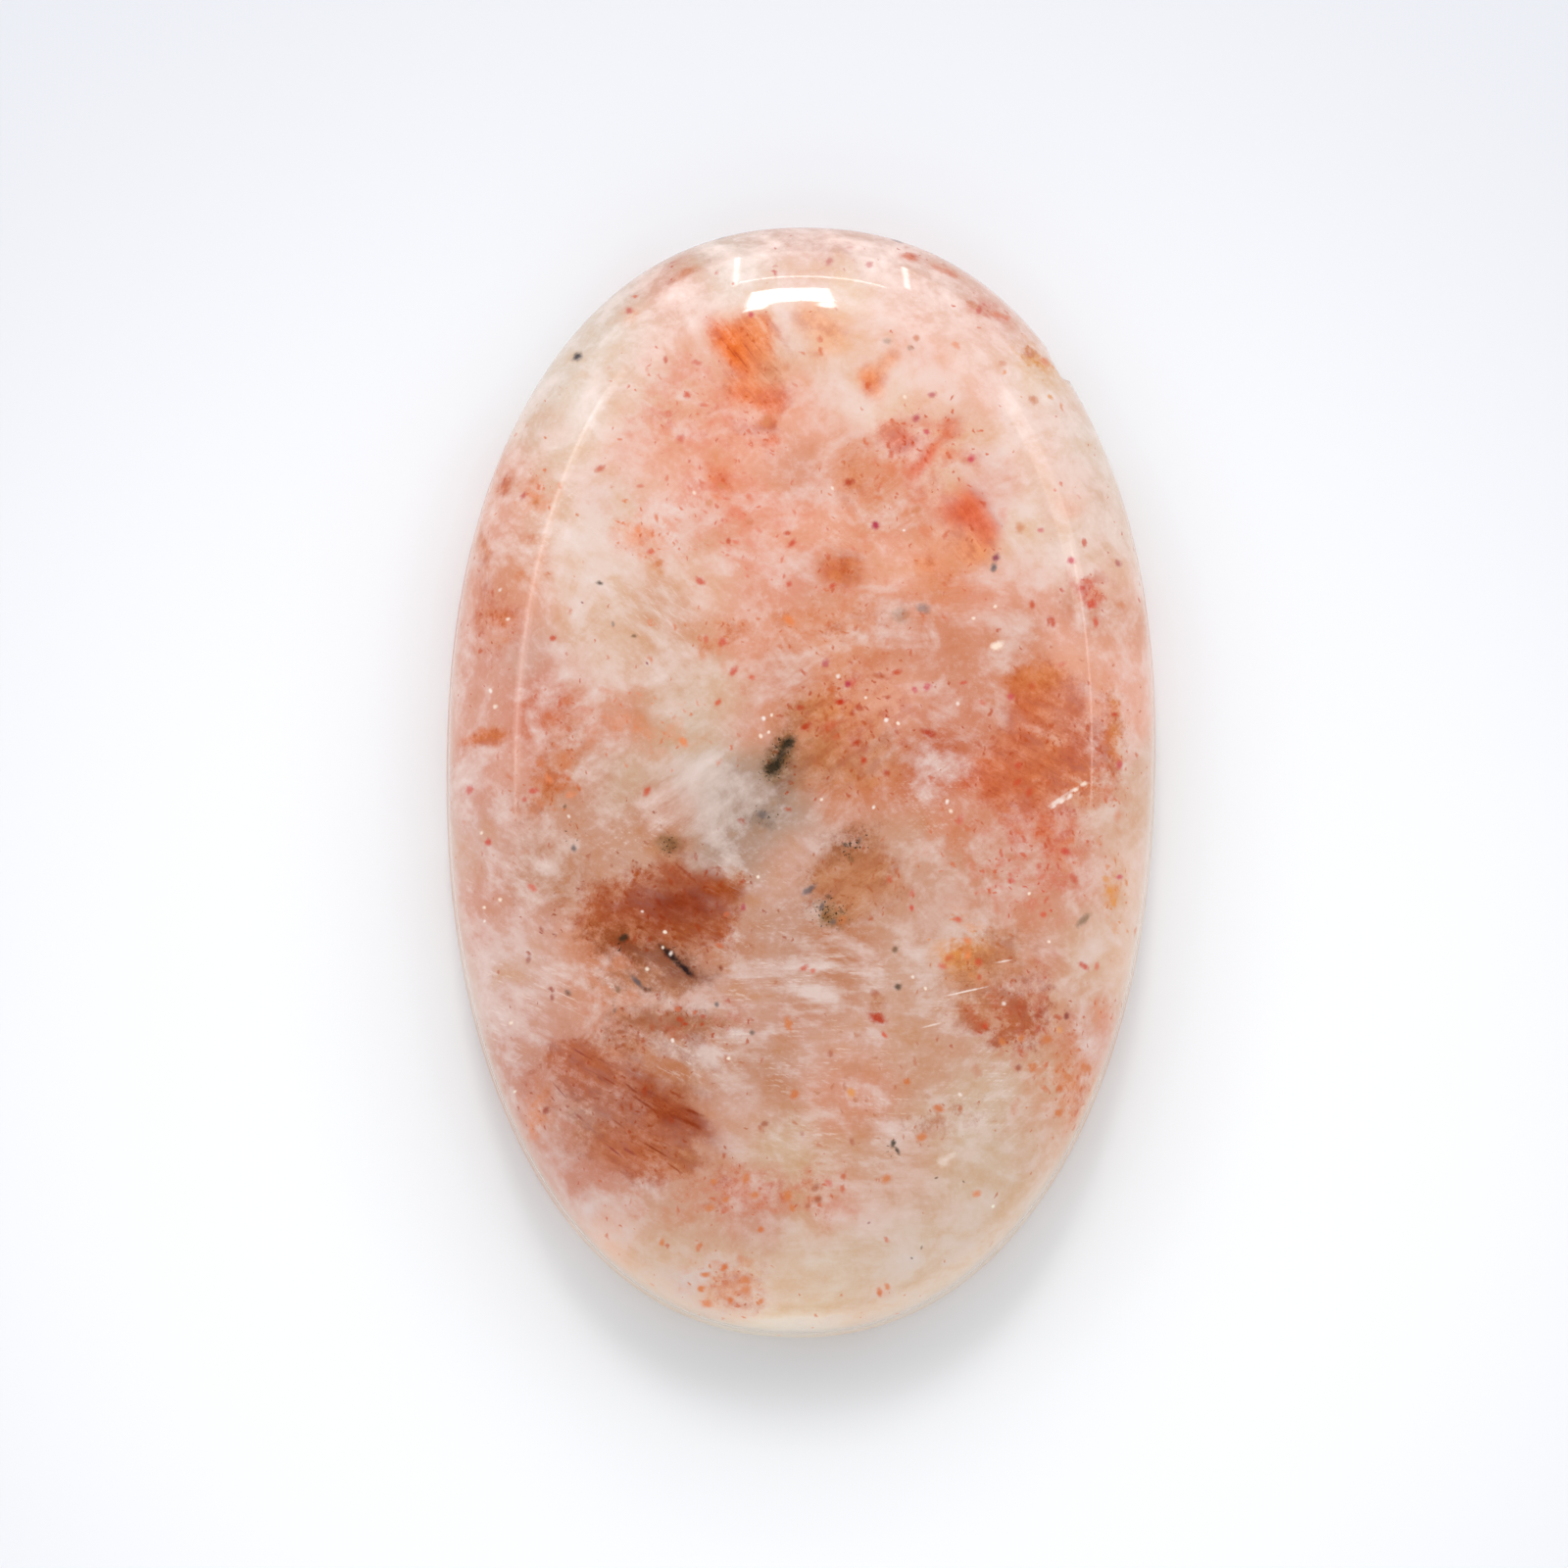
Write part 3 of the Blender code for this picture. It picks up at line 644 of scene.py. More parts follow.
# Flecks that are seen one by one. Each kind gives its tones, radius in mm, stretch and strength,
# and the pixels it lies at.
flecks = {
    "magenta": {
        "tones": ("magenta", "rose", "rose"),
        "radius": (0.11, 0.16), "stretch": (1.0, 1.5), "strength": (0.6, 0.88),
        "at": [
            (1062, 541), (1093, 572), (1141, 575), (933, 704), (946, 701), (1031, 711), (1142, 780),
            (758, 926), (887, 270), (766, 321), (991, 468), (951, 403), (842, 677), (865, 698),
            (1142, 895), (935, 427), (945, 441),
        ],
    },
    "red": {
        "tones": ("vermilion", "coralRed", "fleckRed"),
        "radius": (0.1, 0.17), "stretch": (1.0, 2.0), "strength": (0.52, 0.88),
        "at": [
            (846, 267), (999, 317), (642, 317), (679, 367), (711, 370), (701, 403), (682, 422),
            (694, 448), (612, 478), (653, 496), (534, 506), (564, 651), (743, 552), (714, 593),
            (803, 544), (808, 554), (805, 596), (849, 598), (732, 717), (720, 652), (737, 655),
            (767, 691), (748, 685), (1104, 600), (1118, 635), (1053, 617), (1074, 635), (982, 697),
            (1002, 717), (1053, 700), (1083, 678), (1137, 729), (1039, 781), (1038, 798), (1050, 809),
            (479, 806), (535, 816), (544, 807), (660, 807), (979, 837), (498, 859), (1087, 869),
            (1095, 896), (1060, 884), (1032, 899), (907, 897), (930, 912), (930, 927), (543, 906),
            (977, 938), (1064, 933), (968, 977), (961, 986), (998, 982), (999, 997), (820, 988),
            (829, 991), (902, 1056), (1119, 986), (1106, 986), (1005, 1047), (845, 1207),
        ],
    },
    "deepRed": {
        "tones": ("scarlet", "brick", "rustDeep"),
        "radius": (0.08, 0.13), "stretch": (1.0, 1.8), "strength": (0.6, 0.9),
        "at": [
            (691, 1030), (693, 1040), (699, 1045), (709, 1033), (717, 1037), (716, 1045), (706, 1055),
            (741, 933), (734, 965), (735, 988), (1088, 1037),
        ],
    },
    "orange": {
        "tones": ("orangeBrown", "tanOrange", "orange"),
        "radius": (0.12, 0.2), "stretch": (1.0, 1.7), "strength": (0.45, 0.8),
        "at": [
            (987, 960), (987, 975), (1132, 768), (1122, 860), (859, 939), (651, 540), (736, 496),
            (723, 513), (764, 533), (782, 430), (802, 375), (992, 311), (1017, 321), (1028, 324),
            (935, 345), (975, 352), (542, 491), (542, 549), (530, 587), (1050, 362), (1066, 369),
            (1023, 371), (805, 633), (733, 665), (716, 669), (697, 757), (1144, 617), (551, 778),
            (582, 811), (560, 795),
        ],
    },
    "tan": {
        "tones": ("ochre", "orangeBrown", "ochre"),
        "radius": (0.11, 0.2), "stretch": (1.0, 1.8), "strength": (0.78, 1.0),
        "at": [
            (675, 1268), (713, 1272), (739, 1293), (719, 1301), (715, 1315), (760, 1306), (776, 1328),
            (745, 1327), (721, 1330), (761, 1316), (761, 1203), (770, 1220), (740, 1224), (724, 1233),
            (728, 1206), (808, 1233), (776, 1254), (904, 1203), (905, 1313), (897, 1319), (804, 1220),
            (804, 1045), (810, 1117), (925, 1103), (940, 1160), (958, 1131), (1053, 1089), (1081, 1111),
            (1080, 1136), (1108, 1090), (1042, 1060), (1022, 1063), (1068, 1061), (1090, 1100),
        ],
    },
    "ochre": {
        "tones": ("yellowOrange", "ochre"),
        "radius": (0.12, 0.19), "stretch": (1.0, 1.5), "strength": (0.55, 0.85),
        "at": [
            (984, 969), (1132, 909), (868, 1115), (1040, 539), (935, 520), (1054, 408), (547, 513),
            (1081, 1051), (672, 575), (980, 985), (1128, 897), (1136, 921),
        ],
    },
    "brown": {
        "tones": ("brown", "redBrown", "brown"),
        "radius": (0.1, 0.16), "stretch": (1.2, 2.2), "strength": (0.5, 0.8),
        "at": [
            (834, 1224), (824, 1231), (832, 1212), (1039, 1090), (892, 1014), (679, 1053), (634, 1053),
            (665, 1048), (780, 1147), (869, 1165), (818, 1157), (650, 1060), (693, 1052), (847, 1075),
            (543, 1094), (539, 979), (563, 1018), (557, 1133),
        ],
    },
    "dark": {
        "tones": ("slate", "olive", "greenBlack"),
        "radius": (0.08, 0.13), "stretch": (1.0, 2.0), "strength": (0.4, 0.78),
        "at": [
            (625, 637), (647, 649), (585, 866), (576, 823), (630, 1010), (627, 1031), (704, 1026),
            (731, 1025), (579, 1013), (767, 1054), (913, 969), (916, 1007), (660, 1010), (838, 925),
            (850, 941), (858, 930), (845, 915), (862, 862), (876, 858), (868, 877),
        ],
    },
    # painted glints: near-white dots that stand in for sparkles of light off the platelets
    "glint": {
        "tones": ("glint", "glint", "fissure"),
        "radius": (0.055, 0.085), "stretch": (1.0, 1.4), "strength": (0.75, 1.0),
        "at": [
            (491, 850), (510, 918), (494, 926), (494, 940), (655, 930), (678, 951), (676, 967),
            (684, 973), (660, 989), (686, 1062), (773, 895), (580, 833), (521, 1044), (743, 1080),
            (849, 498), (708, 503), (923, 405), (922, 541), (993, 631), (1015, 619), (779, 733),
            (787, 730), (784, 747), (776, 751), (855, 690), (883, 712), (904, 735), (916, 738),
            (891, 824), (838, 816), (966, 818), (970, 828), (510, 602), (518, 632), (983, 989),
            (979, 995), (1024, 1024), (944, 1009), (931, 997), (1050, 912), (1070, 961), (977, 718),
            (979, 1117), (1013, 1231), (500, 705), (505, 721), (525, 1114),
        ],
    },
    "specks": {
        "tones": ("slate", "plum", "olive"),
        "radius": (0.04, 0.06), "stretch": (1.0, 1.8), "strength": (0.55, 0.85),
        "at": [
            (983, 1206), (955, 1202), (940, 1273), (930, 1284), (886, 1248), (594, 615), (660, 677),
        ],
    },
}


def linear(tone):
    seen = np.array(tones[tone]) / 255
    return np.where(seen <= 0.04045, seen / 12.92, ((seen + 0.055) / 1.055) ** 2.4)


def lightOn(normals):
    # strength of the light and of its mirrored glare on faces with these normals
    upward = normals[:, 1]
    tilt = np.degrees(np.arccos(np.clip(normals[:, 2], -1, 1)))
    first, last = lighting["shoulderTilt"]
    shoulder = np.clip((tilt - first) / (last - first), 0, 1)
    plain, perTilt, perTiltSquared = lighting["strength"]
    crown, side, upper = lighting["glare"]
    strength = plain + perTilt * upward + perTiltSquared * upward ** 2
    return strength[:, None], (crown + shoulder * (side + upper * np.maximum(upward, 0)))[:, None]


def asAlbedo(colour, light):
    # takes the light back out of a colour as it is seen
    strength, glare = light
    bare = np.clip((colour - glare) / strength, lighting["darkest"], lighting["palest"])
    return bare ** lighting["richness"]


def linearRgba(tone):
    return (*asAlbedo(linear(tone), (lighting["strength"][0], lighting["glare"][0])), 1.0)


def turned(x, y, degrees):
    turn = math.radians(degrees)
    return x * math.cos(turn) + y * math.sin(turn), y * math.cos(turn) - x * math.sin(turn)


def within(x, y, pixel, halfAlong, halfAcross, degrees):
    # 0 at a mark's middle, 1 at its edge, and more outside
    middle = onStone(pixel)
    along, across = turned(x - middle[0], y - middle[1], degrees)
    return np.hypot(along / halfAlong, across / halfAcross)


# How the marks are laid on the stone's points
laying = {
    # waves that give the marks their natural edges, as: size and depth in mm, and which ones
    "wander": [(1.2, 0.22, (3, 1, 4)), (0.42, 0.10, (1, 5, 9))],
    "drift": (1.4, -1.1),    # mm that the face's pattern slides by on its way down the wall
    "patchMix": 1.5,         # how strongly the nearest patch decides the tone
    "patchOnWall": 0.55,     # what the wall's foot keeps of the patches
    "crispness": 2.5,        # of the edges of fibres, dust and dense platelets
    "sparse": 0.05,          # platelets that lie everywhere
    "otherGrain": 0.05,      # what each direction of the grain has everywhere
    "grainSpread": 32,       # degrees over which a direction gives way to the next
    "combed": 0.4,
    "groundBelow": 0.42,     # height in mm below which the stone is only ground
    "groundFade": 0.08,
    "groundChip": 0.5,
    "groundWall": 0.9,
    "wallFade": 3,
    "rimCurve": 1.5,         # how the painted rim light fades, and its strength at the upper and lower end
    "rimUpper": 0.15,
    "rimLower": 0.8,
    "rimOnWall": 0.45,
    "fleckGap": 0.80,        # mm between flecks that share a layer
    "fleckMargin": 0.30,     # mm round a fleck that belong to it
    "farOff": 20.0,          # where a point lies that has no fleck near it
}
fleckLayers = 5
seed = 11


def mixed(rows, curve, x, y):
    # the rows' tones where they lie, as: pixel, half length, half width, turn, tone, strength, crispness
    # and anything else that is mixed with them. Gives the tone, the rest's share and the cover.
    colour = np.zeros((len(x), 3))
    total = np.full(len(x), 1e-9)
    bare = np.ones(len(x))
    other = np.zeros(len(x))
    for across, down, along, wide, turn, tone, strength, crispness, more in rows:
        cover = strength * 0.5 ** (within(x, y, (across, down), along, wide, turn) ** crispness)
        colour += (cover ** curve)[:, None] * linear(tone)
        other += cover ** curve * more
        total += cover ** curve
        bare *= 1 - cover
    return colour / total[:, None], other / total, 1 - bare


def bodyTone(x, y):
    colour = np.zeros((len(x), 3))
    total = np.full(len(x), 1e-9)
    for tone, marks in body.items():
        for across, down, reach in marks:
            share = np.exp(-within(x, y, (across, down), reach, reach, 0) ** 2) / reach
            colour += share[:, None] * linear(tone)
            total += share
    return colour / total[:, None]


def density(x, y, rows):
    bare = np.ones(len(x))
    for across, down, along, wide, turn, strength in rows:
        away = within(x, y, (across, down), along, wide, turn)
        bare *= 1 - strength * 0.5 ** (away ** laying["crispness"])
    return 1 - bare


def comb(x, y):
    # shares of the grain's directions, and how streaky the patches are
    shares = np.full((len(x), len(grainTurns)), laying["otherGrain"])
    streaks = np.zeros(len(x))
    total = np.zeros(len(x))
    for across, down, reach, turn, streaky in combing:
        here = np.exp(-2 * within(x, y, (across, down), reach, reach, 0) ** 2)
        gaps = np.abs((turn - np.array(grainTurns) + 90) % 180 - 90)
        shares += here[:, None] * np.maximum(0, 1 - gaps / laying["grainSpread"])
        streaks += here * streaky
        total += here
    return shares / np.linalg.norm(shares, axis=1)[:, None], streaks / np.maximum(total, laying["combed"])


def listFlecks():
    # every fleck as: place, half length, half width, turn, tone, strength
    draw = np.random.default_rng(seed)
    rows = [(onStone(row[:2]), *row[2:]) for row in singles]
    for kind in flecks.values():
        for pixel in kind["at"]:
            radius = draw.uniform(*kind["radius"])
            stretch = draw.uniform(*kind["stretch"]) ** 0.5
            tone = kind["tones"][draw.integers(len(kind["tones"]))]
            turn = draw.uniform(0, 180)
            rows.append((onStone(pixel), radius * stretch, radius / stretch, turn, tone,
                         draw.uniform(*kind["strength"])))
    return rows


def sortFlecks(rows):
    # flecks share a layer only where they lie well apart
    layers = [[] for _ in range(fleckLayers)]
    left = 0
    for row in rows:
        for layer in layers:
            gaps = [math.dist(row[0], other[0]) - row[1] - other[1] for other in layer]
            if not gaps or min(gaps) > laying["fleckGap"]:
                layer.append(row)
                break
        else:
            left += 1
    print("flecks", len(rows), "without room", left)
    return layers


def layFlecks(x, y, onTop, light, layer):
    # each point's place in the nearest fleck's own coordinates, and that fleck's colour
    place = np.full((len(x), 3), (0.0, 0.0, laying["farOff"]))
    colour = np.zeros((len(x), 4))
    margin = laying["fleckMargin"]
    for middle, along, wide, turn, tone, strength in layer:
        beside, across = turned(x - middle[0], y - middle[1], turn)
        here = onTop & (np.abs(beside) < along + margin) & (np.abs(across) < wide + margin)
        place[here, 0] = beside[here] / along
        place[here, 1] = across[here] / wide
        place[here, 2] = 0
        colour[here, :3] = asAlbedo(linear(tone), (light[0][here], light[1][here]))
        colour[here, 3] = strength
    return place, colour


def store(mesh, name, values, more=None):
    # a number, a direction or, with a fourth value, a colour for each point
    if more is not None:
        values = np.column_stack((values, more))
    kind, field = {1: ("FLOAT", "value"), 3: ("FLOAT_VECTOR", "vector"),
                   4: ("FLOAT_COLOR", "color")}[values.shape[1] if values.ndim > 1 else 1]
    made = mesh.attributes.new(name, kind, "POINT")
    made.data.foreach_set(field, np.ascontiguousarray(values, dtype=np.float32).ravel())


def colourStone(mesh, places, bite):
    light = lightOn(meshValues(mesh, "normal"))
    below = np.clip((stone["girdle"] - places[:, 2]) / stone["girdle"], 0, 1)
    x = places[:, 0] + laying["drift"][0] * below
    y = places[:, 1] + laying["drift"][1] * below
    noise.seed_set(seed)     # without it the waves would lie elsewhere in each run
    wanderX, wanderY = x, y
    for size, depth, away in laying["wander"]:
        shift = np.array([noise.noise_vector(Vector(point) / size + Vector(away)) for point in places])
        wanderX = wanderX + depth * shift[:, 0]
        wanderY = wanderY + depth * shift[:, 1]

    store(mesh, "bodyTone", asAlbedo(bodyTone(wanderX, wanderY), light), np.ones(len(x)))
    colour, grainy, cover = mixed(patches, laying["patchMix"], wanderX, wanderY)
    cover *= 1 - (1 - laying["patchOnWall"]) * below
    store(mesh, "patch", asAlbedo(colour * finish["patchTint"], light), cover)
    store(mesh, "graininess", grainy)
    colour, _, _ = mixed([(*row, 2, 0) for row in grains], 1, wanderX, wanderY)
    thick = density(wanderX, wanderY, [row[:5] + row[6:] for row in grains])
    store(mesh, "grain", asAlbedo(colour, light), np.maximum(thick, laying["sparse"]))
    store(mesh, "fibre", density(wanderX, wanderY, fibres) * (1 - below))
    store(mesh, "dust", density(x, y, dust) * (1 - below))
    shares, streaks = comb(x, y)
    store(mesh, "grainShares", shares)
    store(mesh, "streaks", streaks)

    # satin where the stone is only ground: its back, its bevel, the lower wall and the chip
    ground = np.clip((laying["groundBelow"] - places[:, 2]) / laying["groundFade"], 0, 1)
    wall = laying["groundWall"] * np.clip(below * laying["wallFade"], 0, 1)
    store(mesh, "ground", np.maximum(np.maximum(ground, bite * laying["groundChip"]), wall))
    # painted light: the thin rim is painted paler, most of all at the lower end, for light coming through
    # the thin edge
    edge = np.clip((places[:, 2] - stone["girdle"]) / stone["rimHeight"], 0, 1)
    store(mesh, "steep", 1 - edge)
    paintedRimLight = laying["rimUpper"] + laying["rimLower"] * (0.5 - 0.5 * y / halfLength)
    paintedRimLight = paintedRimLight * (1 - edge) ** laying["rimCurve"] * (1 - (1 - laying["rimOnWall"]) * below)
    store(mesh, "paintedRimLight", paintedRimLight)
    for number, layer in enumerate(sortFlecks(listFlecks()), start=1):
        place, colour = layFlecks(places[:, 0], places[:, 1], below < 0.5, light, layer)
        store(mesh, f"fleckPlace{number}", place)
        store(mesh, f"fleckTone{number}", colour)


# The stone's finish
finish = {
    # noise, as: waves to the mm, detail, roughness and distortion
    "curds": (0.42, 6.0, 0.60, 0.5),
    "blushes": (0.33, 3.0, 0.6),
    "crumbs": (1.5, 6.0, 0.72),
    "hazes": (1.15, 4.0, 0.65),
    "tufts": (0.8, 2.0),
    "bends": (4.0, 2.0, 0.5),
    "rags": (5.5, 3.0, 0.6),
    "specks": (8.5, 2.0, 0.6),
    "sugar": (3.6, 3.0, 0.7),
    "smears": (1.3, 3.0),
    "scratches": (5.0, 3.0, 0.6),
    # noise drawn out, as: size of its waves in mm along, across and through the grain, detail, roughness
    "feathers": ((2.6, 0.62, 1.4), 5.0, 0.60),
    "threads": ((1.25, 0.095, 0.9), 2.0, 0.55),
    # from what strength of its noise, and up to which, each of them shows
    "veilFrom": (0.02, 0.24),
    "blushFrom": (0.48, 0.66),
    "patchFrom": (0.20, 0.80),
    "unevenFrom": (0.0, 0.20),
    "dashFrom": (0.08, 0.17),
    "hazeFrom": (0.46, 0.66),
    "hazeOver": (0.05, 0.5),
    "threadFrom": (-0.05, -0.20),
    "tuftFrom": (0.42, 0.60),
    "fleckFrom": (1.55, 0.30),
    "speckFrom": (0.0, 0.08),
    "dustOver": (0.02, 0.2),
    "sugarFrom": (0.50, 0.72),
    "shadeFrom": (0.50, 0.30),
    # the milky body
    "feathered": (0.45, 0.75),       # share of the veils that follow the grain, and what fibres add
    "calm": 0.70,            # how much fainter they are on the steep edge
    "veil": 0.78,            # how far the veils whiten the body
    "clearTone": (0.91, 0.74, 0.55, 1),      # and what the gaps between them take from it
    "blush": 0.55,
    "blushTone": (0.98, 0.86, 0.82, 1),
    "thread": 0.55,
    "threadUnderPatch": 0.75,        # how far a coloured patch hides them
    "grain": 0.16,           # fine sugary grain
    # the coloured patches
    "patchTint": (1.0, 0.95, 0.80),
    "veilOverPatch": 0.50,
    "crumble": 2.0,          # how ragged their edges are
    "stripes": 2.4,
    "mottled": 1.15,         # how far a grainy patch breaks up
    "thinned": 0.60,         # and how far it thins between its streaks
    "patchLight": 0.70,
    "lightTone": (1.22, 1.28, 1.10, 1),
    "patchDepth": 0.90,
    "deepTone": (0.80, 0.56, 0.38, 1),
    "dashes": 0.8,
    "dashTone": (0.72, 0.48, 0.34, 1),
    # platelets, flecks and dust
    "haze": 0.50,
    "crowding": 0.45,        # platelets that a coloured patch adds
    "bendDepth": 0.28,
    "plateletTurn": 2.2,     # how far their turns differ, in radians
    "plateletShape": (0.70, 1.45, 1.0),
    "plateletSizes": (0.5, 0.8),     # the smallest, and what the largest have more
    "plateletLayers": [
        {"scale": 1.3, "radius": 0.42, "softness": 0.95, "share": 0.50, "redder": 0.20,
         "tone": "coral", "strength": 0.40},
        {"scale": 2.2, "radius": 0.38, "softness": 0.80, "share": 0.65, "redder": 0.35,
         "tone": "vermilion", "strength": 0.78},
        {"scale": 3.7, "radius": 0.36, "softness": 0.75, "share": 0.60, "redder": 0.42,
         "tone": "scarlet", "strength": 0.82},
    ],
    "ragged": 1.3,           # how uneven a fleck's edge is
    "dust": 0.85,
    "dustNeeds": (0.70, 0.24),       # how strong the noise has to be, and what dense dust takes off
    # the polish
    "polish": 0.06,          # roughness of the dome
    "smear": 0.03,
    "satin": 0.42,           # and of the ground back
    "ior": 1.54,
    "grit": 0.012,           # depth of the grinding marks in mm
}


def addNode(tree, kind, **settings):
    made = tree.nodes.new(kind)
    for name, setting in settings.items():
        setattr(made, name, setting)
    return made


def treeOf(*sources):
    return next(source.id_data for source in sources if isinstance(source, bpy.types.NodeSocket))


def feed(source, target):
    # a socket takes a link from another socket, or a plain value
    if isinstance(source, bpy.types.NodeSocket):
        target.id_data.links.new(source, target)
    else:
        target.default_value = source


def feedAll(node, sources):
    for name, source in sources.items():
        feed(source, node.inputs[name])
    return node


def sums(operation, *sources):
    made = addNode(treeOf(*sources), "ShaderNodeMath", operation=operation)
    return feedAll(made, dict(enumerate(sources))).outputs[0]


def times(product, *others):
    for other in others:
        product = sums("MULTIPLY", product, other)
    return product


def less(share, amount=1.0):
    # one, less this much of a share
    return sums("MULTIPLY_ADD", share, -amount, 1.0)


def vectorSums(operation, *sources):
    made = addNode(treeOf(*sources), "ShaderNodeVectorMath", operation=operation)
    feedAll(made, dict(enumerate(sources)))
    return made.outputs["Value" if operation in ("LENGTH", "DOT_PRODUCT") else "Vector"]


def ramp(source, ends, reached=(0.0, 1.0), manner="SMOOTHSTEP"):
    # a step with a slope, clamped at both ends
    made = addNode(treeOf(source), "ShaderNodeMapRange", interpolation_type=manner)
    return feedAll(made, {"Value": source, "From Min": ends[0], "From Max": ends[1],
                          "To Min": reached[0], "To Max": reached[1]}).outputs["Result"]


def blend(share, first, second, manner="MIX"):
    made = addNode(treeOf(share, first, second), "ShaderNodeMix", data_type="RGBA", blend_type=manner)
    return feedAll(made, {0: share, 6: first, 7: second}).outputs[2]


def lay(colour, tone, *shares, manner="MIX"):
    # puts a tone over a colour, as far as all the shares together say
    return blend(times(*shares), colour, linearRgba(tone) if isinstance(tone, str) else tone, manner)


def cloud(vector, scale, detail=3.0, roughness=0.55, distortion=0.0):
    made = addNode(treeOf(vector), "ShaderNodeTexNoise", noise_dimensions="3D")
    return feedAll(made, {"Vector": vector, "Scale": scale, "Detail": detail, "Roughness": roughness,
                          "Distortion": distortion}).outputs["Fac"]


def stored(tree, name, output="Fac"):
    made = addNode(tree, "ShaderNodeAttribute", attribute_type="GEOMETRY", attribute_name=name)
    return made.outputs[output]


def newGroup(name, inputs, outputs):
    group = bpy.data.node_groups.new(name, "ShaderNodeTree")
    for way, sockets in (("INPUT", inputs), ("OUTPUT", outputs)):
        for label, kind in sockets.items():
            group.interface.new_socket(label, in_out=way, socket_type="NodeSocket" + kind)
    return group, addNode(group, "NodeGroupInput").outputs, addNode(group, "NodeGroupOutput").inputs


def useGroup(tree, group, **sources):
    return feedAll(addNode(tree, "ShaderNodeGroup", node_tree=group), sources).outputs


def fleckGroup():
    # lays one layer of single flecks over a colour
    group, given, wanted = newGroup(
        "fleckLayer", {"Base": "Color", "Place": "Vector", "Tone": "Color", "Strength": "Float",
                       "Ragged": "Float"}, {"Color": "Color"})
    reach = sums("ADD", vectorSums("LENGTH", given["Place"]), given["Ragged"])
    shown = ramp(reach, finish["fleckFrom"])
    feed(lay(given["Base"], given["Tone"], shown, given["Strength"]), wanted["Color"])
    return group


def plateletGroup():
    # scattered long platelets, each turned its own way: a mask, and a number of its own
    group, given, wanted = newGroup(
        "platelets", {"Vector": "Vector", "Scale": "Float", "Density": "Float", "Radius": "Float",
                      "Softness": "Float"}, {"Mask": "Float", "Pick": "Float"})
    cells = addNode(group, "ShaderNodeTexVoronoi", voronoi_dimensions="3D", feature="F1")
    feedAll(cells, {"Vector": given["Vector"], "Scale": given["Scale"]})
    parts = feedAll(addNode(group, "ShaderNodeSeparateColor"), {0: cells.outputs["Color"]}).outputs
    lying = feedAll(addNode(group, "ShaderNodeVectorRotate", rotation_type="Z_AXIS"), {
        "Vector": vectorSums("SUBTRACT", given["Vector"], cells.outputs["Position"]),
        "Angle": times(parts[2], finish["plateletTurn"])})
    shaped = vectorSums("MULTIPLY", lying.outputs["Vector"], finish["plateletShape"])
    reach = times(vectorSums("LENGTH", shaped), given["Scale"])
    present = sums("LESS_THAN", parts[0], given["Density"])
    smallest, spread = finish["plateletSizes"]
    size = times(sums("MULTIPLY_ADD", parts[1], spread, smallest), given["Radius"])
    feed(times(ramp(reach, (size, times(size, less(given["Softness"])))), present), wanted["Mask"])
    feed(parts[2], wanted["Pick"])
    return group


def alongGrain(tree, where, sizes, detail, roughness):
    # noise drawn out along each direction of the grain, and mixed as the grain runs
    parts = addNode(tree, "ShaderNodeSeparateColor")
    feed(stored(tree, "grainShares", "Color"), parts.inputs[0])
    total = 0.0
    for turn, share in zip(grainTurns, (*parts.outputs, stored(tree, "grainShares", "Alpha"))):
        drawnOut = feedAll(addNode(tree, "ShaderNodeMapping", vector_type="TEXTURE"), {
            "Location": (turn, 2 * turn, 0), "Rotation": (0, 0, math.radians(turn)),
            "Scale": sizes, "Vector": where})
        waves = cloud(drawnOut.outputs["Vector"], 1.0, detail, roughness)
        total = sums("MULTIPLY_ADD", sums("SUBTRACT", waves, 0.5), share, total)
    return total


def milkyBody(tree, where, feathers):
    # pale veils with warmer, clearer stone between them: the colour, and where the veils are
    curds = sums("SUBTRACT", cloud(where, *finish["curds"]), 0.5)
    plain, withFibres = finish["feathered"]
    feathered = sums("MULTIPLY_ADD", stored(tree, "fibre"), withFibres, plain)
    milky = times(sums("MULTIPLY_ADD", feathers, feathered, curds),
                  less(stored(tree, "steep"), finish["calm"]))
    low, high = finish["veilFrom"]
    pale = ramp(milky, (-low, high), manner="LINEAR")
    clear = ramp(milky, (low, -high), manner="LINEAR")
    colour = lay(stored(tree, "bodyTone", "Color"), finish["clearTone"], clear, manner="MULTIPLY")
    colour = lay(colour, "veil", pale, finish["veil"])
    blush = ramp(cloud(where, *finish["blushes"]), finish["blushFrom"], (0.0, finish["blush"]))
    return lay(colour, finish["blushTone"], blush, manner="MULTIPLY"), pale


